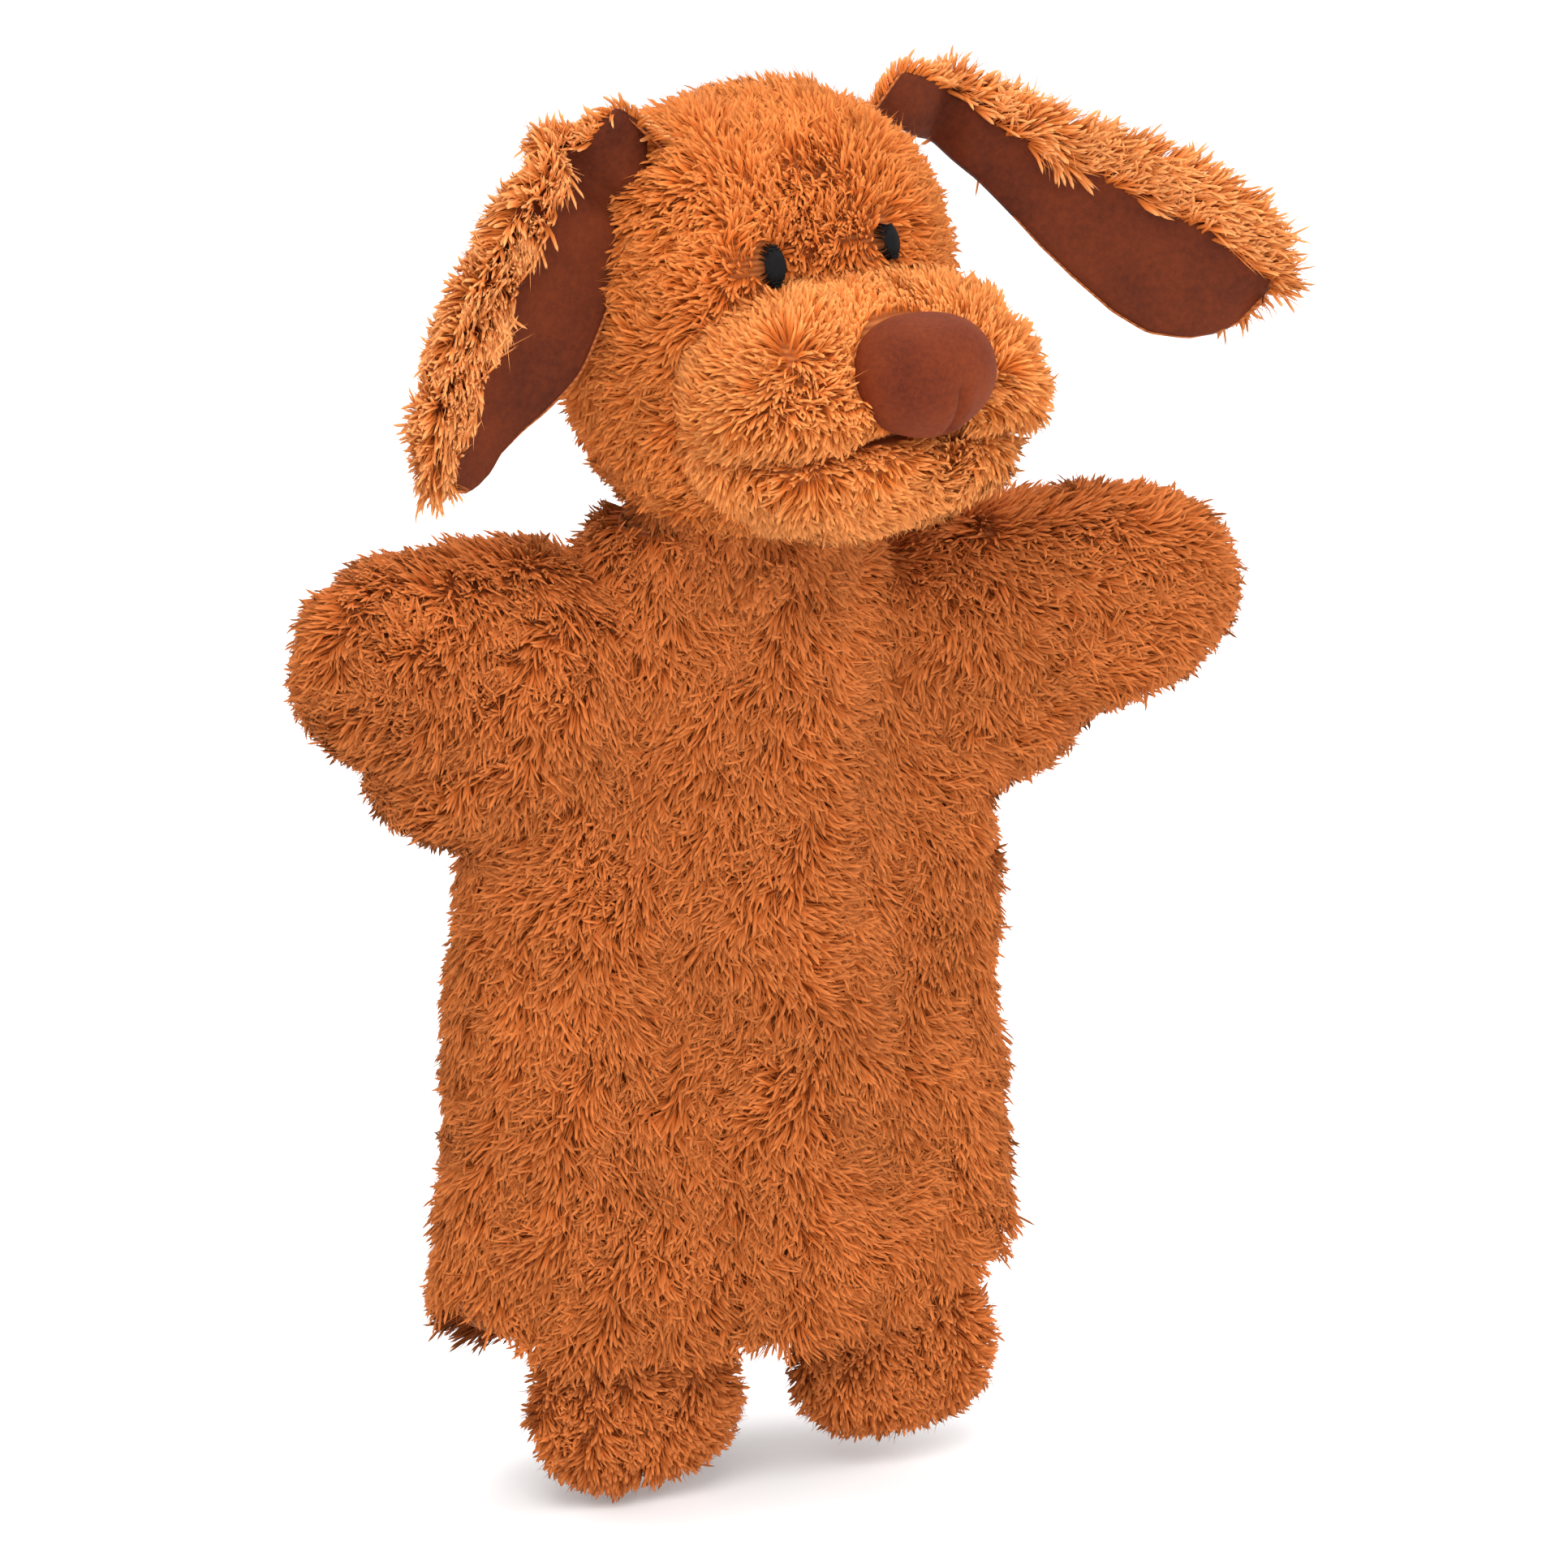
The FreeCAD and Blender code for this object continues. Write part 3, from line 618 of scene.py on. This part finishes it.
def down_comb(root, out):
    """Straight down, with a little spread."""
    return np.stack([0.2 * root[:, 0] / 20, 0 * root[:, 0], -np.ones(len(root))], axis=1)


neck_panel = cloth("neck_sleeve_panel", sleeve, sleeve_quads, 1.0, body_backing)
neck_pile = grow("neck_sleeve_pile", sleeve, sleeve_quads, down_comb, SPACING, length=7.0,
                 lean=(25, 60), width=1.2, seed=210, finish_of=body_plush)
for piece in (neck_panel, neck_pile):
    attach(piece, "neck")
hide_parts("neck_sleeve", "neck_thread")


# ---------------------------------------------------------------- Head covers
# A face panel and two back panels of the same plush in a brighter dye lot, sewn into a ball and
# stuffed. The pile is shorter here, stands up in curls, and is cleared round the eyes.
HEAD_TURN = np.radians(15)
HEAD_MIDDLE = np.array([2.0 + 7 * np.sin(HEAD_TURN), -5.0 - 7 * np.cos(HEAD_TURN), 222.0])
HEAD_AXES = np.array([[np.cos(HEAD_TURN), -np.sin(HEAD_TURN), 0],
                      [np.sin(HEAD_TURN), np.cos(HEAD_TURN), 0],
                      [0, 0, 1]])


def on_head(places):
    """Places given from the head's middle (its left, its back, up), in the model's frame."""
    return np.asarray(places) @ HEAD_AXES.T + HEAD_MIDDLE


# Root colour painted shade, tip colour painted highlight, as for the body.
head_plush = plush("head_plush", tone(168, 78, 25), tone(190, 94, 34), tone(208, 122, 60), 0.2)
head_backing = backing("head_backing", tone(200, 120, 62), tone(140, 70, 30), 260.0)

skull, skull_quads = soft_form([
    ball((0, 2, 0), (38.5, 30.5, 42.5), blunt=2.45),
    ball((0, 6, 0), (37, 30, 40)),
    ball((0, -2, -22), (35, 29, 21))], grid=2.4, passes=8)
skull = skull + out_of(skull, skull_quads) * (0.9 * ripple(skull, 22.0, 31))[:, None]

EYES = {1: np.array([10.1, -29.5, 17.6]), -1: np.array([-19.8, -27.6, 16.4])}
EYE_HALF = {1: (2.3, 3.9), -1: (2.4, 4.6)}


def by_an_eye(root):
    """True on the small ovals under the embroidered eyes, in the head's own places."""
    near = np.zeros(len(root), bool)
    for middle in EYES.values():
        off = root - middle
        near |= (off[:, 0] / 2.7) ** 2 + (off[:, 1] / 12.0) ** 2 + (off[:, 2] / 4.9) ** 2 < 1
    return near


def head_clear(root):
    """No pile under the eyes, under the muzzle, or round the opening for the neck."""
    under_muzzle = (np.abs(root[:, 0] / 34) ** 2.4 + np.abs((root[:, 1] + 33) / 21) ** 2.4
                    + np.abs((root[:, 2] + 15) / 22) ** 2.4) < 0.9
    at_neck = (np.hypot(root[:, 0], root[:, 1] - 7) < 17) & (root[:, 2] < -30)
    return by_an_eye(root) | under_muzzle | at_neck


def head_comb(root, out):
    """Away from a whorl on the forehead, down at the back, and aside round the eyes."""
    away = root - np.array([3.0, -32.0, 24.0])
    away /= np.maximum(np.linalg.norm(away, axis=1, keepdims=True), 14.0)
    away[:, 2] -= 0.5 * ease(root[:, 1], -5, 15)
    for middle in EYES.values():
        off = root - middle
        far = np.linalg.norm(off, axis=1, keepdims=True)
        away += 2.4 * off / np.maximum(far, 0.1) * np.exp(-(far / 8.5) ** 2)
    wander = np.stack([ripple(root, 13.0, k) for k in (41, 42, 43)], axis=1)
    return away + 0.45 * wander


def head_length(root):
    """Short round the eyes, where it is brushed back, and full length a little way off."""
    nearest = np.min([np.linalg.norm(root - middle, axis=1) for middle in EYES.values()], axis=0)
    return 6.2 * (0.5 + 0.5 * ease(nearest, 4, 11))


skull_middle = skull[skull_quads].mean(axis=1)
at_neck = (np.hypot(skull_middle[:, 0], skull_middle[:, 1] - 7) < 13) & (skull_middle[:, 2] < -28)
face_side = skull_middle[:, 1] < 3
for number, (label, mine, stands_for) in enumerate((
    ("face", face_side, ("face_panel", "head_filling")),
    ("head_back_left", ~face_side & (skull_middle[:, 0] >= 0), ("head_back_left",)),
    ("head_back_right", ~face_side & (skull_middle[:, 0] < 0), ("head_back_right",)),
)):
    quads = skull_quads[mine & ~at_neck]
    panel = cloth(label + "_cover", on_head(skull), quads, 1.0, head_backing)
    fur = grow(label + "_pile", skull, quads, head_comb, SPACING, length=head_length, lean=(16, 58),
               width=1.05, seed=300 + 10 * number, finish_of=head_plush, clear=head_clear)
    fur.data.transform(Matrix.Translation(HEAD_MIDDLE * MM) @ Matrix(HEAD_AXES.tolist()).to_4x4())
    for piece in (panel, fur):
        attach(piece, "head")
    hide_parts(*stands_for)

pocket_cloth = backing("pocket_cloth", tone(214, 196, 170), tone(176, 150, 120), 500.0)
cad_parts["finger_pocket"].data.materials.clear()
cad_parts["finger_pocket"].data.materials.append(pocket_cloth)


# ---------------------------------------------------------------- Muzzle and chin
# One wide stuffed oval sewn to the lower face, drawn in by a thread along the mouth so that the
# upper lip hangs over the chin. Its pile radiates from a whorl on each cheek.
def mouth_height(x):
    """The mouth line, nearly level, and sinking a little towards the left cheek."""
    return -18.0 - 0.0012 * x ** 2 - 0.1 * np.maximum(x, 0)


muzzle, muzzle_quads = soft_form([
    ball((-0.5, -31, -14), (37.5, 23, 23.5), blunt=2.4),
    ball((-1, -35, -9), (28, 21, 14))], grid=2.0, passes=5)
muzzle_out = out_of(muzzle, muzzle_quads)
fore = ease(-muzzle[:, 1], 26, 44)
crease = np.exp(-((muzzle[:, 2] - mouth_height(muzzle[:, 0])) / 2.8) ** 2) * fore
lip = np.exp(-((muzzle[:, 2] - mouth_height(muzzle[:, 0]) - 7) / 5) ** 2) * fore
muzzle = muzzle + muzzle_out * (-7.5 * crease + 2.4 * lip + 0.7 * ripple(muzzle, 18.0, 51))[:, None]
muzzle_middle = muzzle[muzzle_quads].mean(axis=1)
in_skull = ((muzzle_middle[:, 0] / 34) ** 2 + ((muzzle_middle[:, 1] - 2) / 29) ** 2
            + (muzzle_middle[:, 2] / 38) ** 2) < 1
above_mouth = muzzle_middle[:, 2] > mouth_height(muzzle_middle[:, 0])
NOSE_MIDDLE = np.array([-2.6, -54.5, -4.2])


def muzzle_clear(root):
    """No pile under the nose, inside the head, or deep in the mouth's fold."""
    inside = ((root[:, 0] / 36) ** 2 + ((root[:, 1] - 2) / 31) ** 2 + (root[:, 2] / 40) ** 2) < 1
    under_nose = (((root - NOSE_MIDDLE) / np.array([16.2, 22, 12.4])) ** 2).sum(axis=1) < 1
    in_fold = np.abs(root[:, 2] - mouth_height(root[:, 0])) < 1.3
    return inside | under_nose | (in_fold & (root[:, 1] < -44))


def from_whorl(root):
    """The way from the whorl of its own cheek to each place."""
    aside = np.where(root[:, 0] < 0, -24.0, 24.0)
    return root - np.stack([aside, np.full(len(root), -46.0), np.full(len(root), -2.0)], axis=1)


def muzzle_lean(root):
    """A little more upright at the whorls than away from them."""
    return 40 + 20 * ease(np.linalg.norm(from_whorl(root), axis=1), 2, 20)


def muzzle_comb(root, out):
    """Away from the whorl of its own cheek, and forward and down on the chin."""
    away = from_whorl(root)
    away /= np.maximum(np.linalg.norm(away, axis=1, keepdims=True), 12.0)
    chin = (1 - ease(root[:, 2], -22, -14))[:, None]
    wander = np.stack([ripple(root, 12.0, k) for k in (61, 62, 63)], axis=1)
    off = root - NOSE_MIDDLE
    off[:, 1] *= 0.2
    far = np.linalg.norm(off, axis=1, keepdims=True)
    away = away + 2.6 * off / np.maximum(far, 0.1) * np.exp(-((far - 14) / 5) ** 2)
    return away * (1 - chin) + np.array([0.0, -0.5, -1.0]) * chin + 0.6 * wander


def muzzle_length(root):
    """Trimmed short round the nose and in the mouth's crease."""
    off = (root - NOSE_MIDDLE) / np.array([16.4, 60.0, 13.0])
    by_nose = ease(np.linalg.norm(off, axis=1), 0.95, 1.6)
    off_mouth = np.abs(root[:, 2] - mouth_height(root[:, 0]) + 1.5)
    by_mouth = np.where(root[:, 1] < -40, ease(off_mouth, 1, 6), 1.0)
    return 6.4 * (0.45 + 0.55 * by_nose) * (0.6 + 0.4 * by_mouth)


# The same cloth as the head's plush, painted paler here as a painted highlight on the muzzle; its root colour
# is painted shade and its tip colour a painted highlight, as elsewhere.
muzzle_highlit_plush = plush("muzzle_highlit_plush", tone(180, 86, 30), tone(202, 106, 42), tone(222, 140, 76), 0.2)
for number, (label, mine, stands_for) in enumerate((
    ("muzzle", above_mouth, ("muzzle_cover", "muzzle_filling")),
    ("chin", ~above_mouth, ("chin_cover",)),
)):
    quads = muzzle_quads[mine & ~in_skull]
    panel = cloth(label + "_panel", on_head(muzzle), quads, 1.0, head_backing)
    fur = grow(label + "_pile", muzzle, quads, muzzle_comb, SPACING, length=muzzle_length,
               lean=(18, muzzle_lean), width=1.05, seed=340 + 10 * number, finish_of=muzzle_highlit_plush,
               clear=muzzle_clear)
    fur.data.transform(Matrix.Translation(HEAD_MIDDLE * MM) @ Matrix(HEAD_AXES.tolist()).to_4x4())
    for piece in (panel, fur):
        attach(piece, "head")
    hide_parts(*stands_for)


def threads(name, lines, radius, finish_of, around=6):
    """Sewing threads: round tubes along lines of points, all in one piece."""
    points, corners, counts, first = [], [], [], 0
    for line in lines:
        line = np.asarray(line, dtype=float)
        ahead = np.gradient(line, axis=0)
        ahead /= np.linalg.norm(ahead, axis=1, keepdims=True)
        one = np.cross(ahead, (0.31, 0.87, 0.39))
        one /= np.linalg.norm(one, axis=1, keepdims=True)
        two = np.cross(ahead, one)
        angle = np.linspace(0, 2 * np.pi, around, endpoint=False)
        taper = np.ones(len(line))
        taper[[0, -1]] = 0.35
        ring = one[:, None] * np.cos(angle)[:, None] + two[:, None] * np.sin(angle)[:, None]
        ring = ring * taper[:, None, None]
        points.append((line[:, None] + radius * ring).reshape(-1, 3))
        for row in range(len(line) - 1):
            for k in range(around):
                a, b = first + row * around + k, first + row * around + (k + 1) % around
                corners += [a, b, b + around, a + around]
                counts.append(4)
        corners += list(range(first, first + around))[::-1]
        last = first + len(line) * around
        corners += list(range(last - around, last))
        counts += [around, around]
        first = last
    return add_mesh(name, np.concatenate(points), corners, counts, finish_of)


def spun(name, dark, light, roughness):
    """Twisted thread: fine slanted plies along its length."""
    material, shader = finish(name, roughness, Specular_IOR_Level=0.2)
    tree = material.node_tree
    where = node(tree, "TexCoord")
    ply = node(tree, "TexWave", bands_direction="DIAGONAL", Scale=900.0, Distortion=1.5)
    tree.links.new(where.outputs["Object"], ply.inputs["Vector"])
    shade = node(tree, "MixRGB", Color1=dark, Color2=light)
    tree.links.new(ply.outputs["Fac"], shade.inputs["Fac"])
    tree.links.new(shade.outputs["Color"], shader.inputs["Base Color"])
    bump = node(tree, "Bump", Strength=0.4, Distance=0.0002)
    tree.links.new(ply.outputs["Fac"], bump.inputs["Height"])
    tree.links.new(bump.outputs["Normal"], shader.inputs["Normal"])
    return material


sewing_thread = spun("sewing_thread", tone(96, 44, 20), tone(140, 72, 34), 0.7)
across = np.linspace(-24, 24, 40)
seam_depth = -31 - 16.5 * (1 - np.abs(across / 38) ** 2.6) ** 0.385
seam = np.stack([across, seam_depth, mouth_height(across)], axis=1)
mouth = threads("mouth_crease_thread", [on_head(seam)], 0.45, sewing_thread)
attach(mouth, "head")
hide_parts("mouth_thread")


# ---------------------------------------------------------------- Eyes
# Two upright ovals of black satin stitch, worked straight through the face panel before the pile
# is brushed back, so the thread lies in a little hollow in the fur.
eye_thread = spun("eye_thread", tone(3, 3, 4), tone(9, 9, 11), 0.7)
for label, sign in (("left", 1), ("right", -1)):
    splay = np.radians(12) * sign
    outward = np.array([np.sin(splay) * 0.97, -np.cos(splay) * 0.97, 0.22])
    outward /= np.linalg.norm(outward)
    aside = np.cross((0, 0, 1), outward)
    aside /= np.linalg.norm(aside)
    upward = np.cross(outward, aside)
    half_wide, half_tall = EYE_HALF[sign]
    lines = []
    for place in np.linspace(-0.93, 0.93, 15):
        reach = half_tall * np.sqrt(1 - place ** 2) * (1 + 0.05 * np.sin(place * 31))
        step = np.linspace(-1, 1, 11)
        height = 1.6 * (1 - 0.6 * place ** 2) * (1 - step ** 4) - 0.5 - 2.2 * step ** 8
        lines.append(on_head(EYES[sign] + aside * (place * half_wide) + upward * (step * reach)[:, None]
                             + outward * height[:, None]))
    for place in np.linspace(-0.9, 0.9, 14):
        flat = aside * (np.linspace(-1, 1, 7)[:, None] * half_wide * np.sqrt(1 - place ** 2) * 0.92)
        lines.append(on_head(EYES[sign] + flat + upward * (place * half_tall) + outward * 0.5))
    eye = threads(f"{label}_eye_stitches", lines, 0.28, eye_thread)
    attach(eye, "head")
    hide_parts(f"{label}_eye")


# ---------------------------------------------------------------- Nose
# A cap of brown velour drawn over a ball of filling, with one dart sewn up from below to make it
# round, and its edge turned under the muzzle's pile.
nap, given, put_out = group_of(
    "velour_nap",
    (("Deep", COLOUR, tone(84, 34, 14)),
     ("Brushed", COLOUR, tone(140, 66, 36)),
     ("Scale", NUMBER, 300.0)),
    (("Color", COLOUR), ("Height", NUMBER)))
link = nap.links.new
where = node(nap, "TexCoord")
fine = node(nap, "TexNoise", Detail=4.0, Roughness=0.7)
link(where.outputs["Object"], fine.inputs["Vector"])
link(given.outputs["Scale"], fine.inputs["Scale"])
broad = node(nap, "TexNoise", Scale=55.0, Detail=3.0)
link(where.outputs["Object"], broad.inputs["Vector"])
blend_of = node(nap, "Math", operation="MULTIPLY_ADD")
link(fine.outputs["Fac"], blend_of.inputs[0])
blend_of.inputs[1].default_value = 0.75
link(broad.outputs["Fac"], blend_of.inputs[2])
spread_of = node(nap, "MapRange", **{"From Min": 0.55, "From Max": 1.2})
link(blend_of.outputs["Value"], spread_of.inputs["Value"])
shade = node(nap, "MixRGB")
link(spread_of.outputs["Result"], shade.inputs["Fac"])
link(given.outputs["Deep"], shade.inputs["Color1"])
link(given.outputs["Brushed"], shade.inputs["Color2"])
link(shade.outputs["Color"], put_out.inputs["Color"])
link(fine.outputs["Fac"], put_out.inputs["Height"])


def velour(name, deep, brushed, scale):
    """Short-napped brown velour that pales where the nap is brushed or seen along its edge."""
    material, shader = finish(name, 0.8, Specular_IOR_Level=0.2, Sheen_Weight=0.05, Sheen_Roughness=0.4,
                              Sheen_Tint=tone(235, 140, 90))
    tree = material.node_tree
    shade = tree.nodes.new("ShaderNodeGroup")
    shade.node_tree = nap
    shade.inputs["Deep"].default_value = deep
    shade.inputs["Brushed"].default_value = brushed
    shade.inputs["Scale"].default_value = scale
    bump = node(tree, "Bump", Strength=0.55, Distance=0.0004)
    tree.links.new(shade.outputs["Color"], shader.inputs["Base Color"])
    tree.links.new(shade.outputs["Height"], bump.inputs["Height"])
    tree.links.new(bump.outputs["Normal"], shader.inputs["Normal"])
    return material


nose_velour = velour("nose_velour", tone(80, 24, 3), tone(122, 50, 14), 900.0)
nose, nose_quads = soft_form([ball((0, 0, 0), (16.2, 12.6, 12.9), blunt=2.15)], grid=0.9, passes=3)
dart_side = nose[:, 0] - 0.6
dart = np.exp(-(dart_side / 0.8) ** 2) * ease(-nose[:, 1], 3, 7) * (1 - ease(nose[:, 2], -3.5, 1.5))
puff = (np.exp(-((np.abs(dart_side) - 2.6) / 1.6) ** 2) * ease(-nose[:, 1], 3, 7)
        * (1 - ease(nose[:, 2], -4, 3)))
nose = nose + out_of(nose, nose_quads) * (-1.5 * dart + 0.35 * puff + 0.25 * ripple(nose, 9.0, 71))[:, None]
CAP_DEPTH = 7.5
cap_quads = nose_quads[nose[nose_quads].mean(axis=1)[:, 1] < CAP_DEPTH]
cap = cloth("nose_cap_velour", on_head(nose + NOSE_MIDDLE), cap_quads, 0.7, nose_velour)
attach(cap, "head")
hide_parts("nose_cap", "nose_filling")


# ---------------------------------------------------------------- Ears
# Each ear is a long leaf of plush lined with brown velour, lightly padded, and pinched into a
# crease where it is sewn to the head. The plush wraps over the upper edge onto the front.
# Root colour painted shade, tip colour painted highlight, as for the body.
ear_plush = plush("ear_plush", tone(176, 92, 36), tone(206, 114, 50), tone(230, 154, 92), 0.2)
ear_velour = velour("ear_velour", tone(60, 18, 3), tone(104, 42, 12), 700.0)
EAR_LENGTH = {"left": 101.0, "right": 86.0}
# Half widths from root to tip, then how much wider or narrower the half below the middle line is.
LEAF = ([-0.2, 0.0, 0.1, 0.25, 0.45, 0.6, 0.72, 0.82, 0.9, 0.95, 0.98, 1.0],
        [7.0, 7.5, 8.2, 10.0, 13.5, 16.2, 17.6, 17.2, 14.6, 11.0, 7.5, 2.0])
LOWER_HALF = {"left": ([0.0, 0.3, 0.5, 0.8], [0.72, 0.78, 1.0, 1.15]),
              "right": ([0.0, 0.1, 0.3, 0.6, 0.85], [1.0, 1.7, 1.85, 1.3, 0.9])}
# How far up the front the velour reaches before the plush begins, at three places from the root.
FUR_FROM = {"left": [1.0, 0.7, 0.36], "right": [0.9, 0.4, 0.0]}
ROWS, COLUMNS = 64, 25


def turn_about(axis, degrees):
    """A turn about X, Y or Z."""
    c, s = np.cos(np.radians(degrees)), np.sin(np.radians(degrees))
    turn = np.eye(3)
    i, j = [(1, 2), (2, 0), (0, 1)][axis]
    turn[i, i] = turn[j, j] = c
    turn[i, j], turn[j, i] = -s, s
    return turn


for label, sign, droop, sweep, root_at in (("left", 1, 30.0, 20.0, (35.0, 2.0, 41.0)),
                                           ("right", -1, 53.0, 0.0, (-35.0, 2.0, 45.0))):
    axes = (turn_about(2, -sign * sweep + (0 if sign > 0 else 180)) @ turn_about(1, droop)
            @ turn_about(0, 14.0 * sign) @ turn_about(0, -90 * sign))
    root_at = np.array(root_at)
    inward = np.array([0.0, 0.0, 12.0]) - root_at
    inward /= np.linalg.norm(inward)
    u, v = np.meshgrid(np.linspace(-0.2, 1.0, ROWS), np.linspace(-1, 1, COLUMNS), indexing="ij")
    half_width = np.interp(u, *LEAF) * np.where(v > 0, 0.88, np.interp(u, *LOWER_HALF[label]))
    bow = np.zeros_like(u) if sign > 0 else 22 * u - 27 * u ** 2
    loft = 2.3 * (1 - v ** 2) ** 0.45 * ease(u, -0.1, 0.1) * (1 - 0.8 * ease(u, 0.93, 1.0))
    crease = 4.6 * np.exp(-((u - 0.17 + 0.02 * v) / 0.035) ** 2) - 4.0 * (1 - ease(u, 0.0, 0.17))
    middle = 2.6 - 2.2 * v ** 2 * ease(u, 0.15, 0.5) + crease + 1.5 * np.sin(u * 5.0)
    if sign < 0:
        middle = middle - 9.0 * np.clip(-v, 0, 1) ** 1.4 * ease(u, 0.0, 0.15) * (1 - ease(u, 0.55, 0.85))
    shape = {}
    for side, way in (("front", -1), ("back", 1)):
        local = np.stack([np.maximum(u, 0) * EAR_LENGTH[label], -sign * (v * half_width + bow),
                          middle + way * loft], axis=2)
        sunk = np.minimum(u, 0).reshape(-1, 1) * 100.0 * inward
        shape[side] = on_head(local.reshape(-1, 3) @ axes.T + root_at - sunk)
    i, j = np.meshgrid(np.arange(ROWS - 1), np.arange(COLUMNS - 1), indexing="ij")
    base = (i * COLUMNS + j).ravel()
    quads = np.stack([base, base + COLUMNS, base + COLUMNS + 1, base + 1], axis=1)
    if (out_of(shape["back"], quads).mean(axis=0) @ (HEAD_AXES @ axes[:, 2])) < 0:
        quads = quads[:, ::-1]
    tip_way = HEAD_AXES @ axes[:, 0]
    up_way = HEAD_AXES @ axes[:, 1] * -sign
    quad_u, quad_v = u.ravel()[quads].mean(axis=1), v.ravel()[quads].mean(axis=1)
    fur_from = np.interp(quad_u, [0.04, 0.14, 0.3], FUR_FROM[label])

    def ear_comb(root, out, tip_way=tip_way, up_way=up_way, origin=on_head(root_at), sign=sign):
        """Towards the tip, and up and over the ear's upper edge."""
        height = ((root - origin) @ up_way) / 14
        over = np.clip(height + 0.25, -0.5, 1.3)[:, None] * up_way
        return tip_way + over + 0.3 * ripple(root, 14.0, 80)[:, None] * up_way

    def ear_length(root, origin=on_head(root_at)):
        """Shorter at the seam with the head."""
        return 4.2 + 2.6 * ease(np.linalg.norm(root - origin, axis=1), 6, 30)

    lining = cloth(f"{label}_ear_velour", shape["front"], quads[:, ::-1], 0.5, ear_velour)
    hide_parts(f"{label}_ear_lining")
    backing_piece = cloth(f"{label}_ear_cloth", shape["back"], quads, 0.5, head_backing)
    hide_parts(f"{label}_ear_fur")
    behind = quads[quad_v > -0.7]
    fur = grow(f"{label}_ear_pile", shape["back"], behind, ear_comb, SPACING, length=ear_length,
               lean=(30, 68), width=1.1, seed=400 + sign, finish_of=ear_plush, round_light=2.5)
    border = grow(f"{label}_ear_border_pile", shape["front"], quads[:, ::-1][quad_v > fur_from],
                  lambda root, out: ear_comb(root, out) + 0.7 * up_way, SPACING, length=ear_length,
                  lean=(34, 66), width=1.1, seed=420 + sign, finish_of=ear_plush, round_light=1.2)
    for piece in (lining, backing_piece, fur, border):
        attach(piece, f"{label}_ear")


# ---------------------------------------------------------------- Feet
# Two flat padded feet, each of two plush pieces turned and lightly stuffed, and sewn by a tab to
# the inside of the front panel so that they swing below the hem.
# Root colour painted shade, tip colour painted highlight, as for the body.
foot_plush = plush("foot_plush", tone(134, 56, 16), tone(172, 86, 34), tone(200, 114, 58), 0.2)
FOOT_MIDDLE = {"left": (33.0, -14.0, -10.0), "right": (-27.8, -14.0, -13.5)}
FOOT_HALF_WIDTH = {"left": 20.5, "right": 22}
UNDER_HEM = 2.0
for label, sign in (("left", 1), ("right", -1)):
    middle = np.array(FOOT_MIDDLE[label])
    foot, foot_quads = soft_form([
        ball(middle, (FOOT_HALF_WIDTH[label], 5.3, 16), blunt=2.5),
        ball(middle + (0, 0.0, 10), (17, 2.6, 9), blunt=2.5)], grid=1.6, passes=5)
    foot = foot + out_of(foot, foot_quads) * (0.5 * ripple(foot, 14.0, 90 + sign))[:, None]
    foot_middle = foot[foot_quads].mean(axis=1)

    def foot_comb(root, out, middle=middle):
        """Down and outwards from the tab."""
        away = root - (middle + (0, 0, 16))
        return away + 3.0 * np.stack([ripple(root, 9.0, k) for k in (95, 96, 97)], axis=1)

    for face, mine, stands_for in (
        ("front", foot_middle[:, 1] < middle[1], (f"{label}_foot_front", f"{label}_foot_filling")),
        ("back", foot_middle[:, 1] >= middle[1], (f"{label}_foot_back",)),
    ):
        quads = foot_quads[mine]
        panel = cloth(f"{label}_foot_{face}_panel", foot, quads, 0.8, body_backing)
        fur = grow(f"{label}_foot_{face}_pile", foot, quads, foot_comb, SPACING, length=4.8,
                   lean=(15, 50), width=1.05, seed=500 + sign + (20 if face == "back" else 0),
                   finish_of=foot_plush, clear=lambda root: root[:, 2] > UNDER_HEM)
        for piece in (panel, fur):
            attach(piece, f"{label}_foot")
        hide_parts(*stands_for)


bpy.context.view_layer.update()
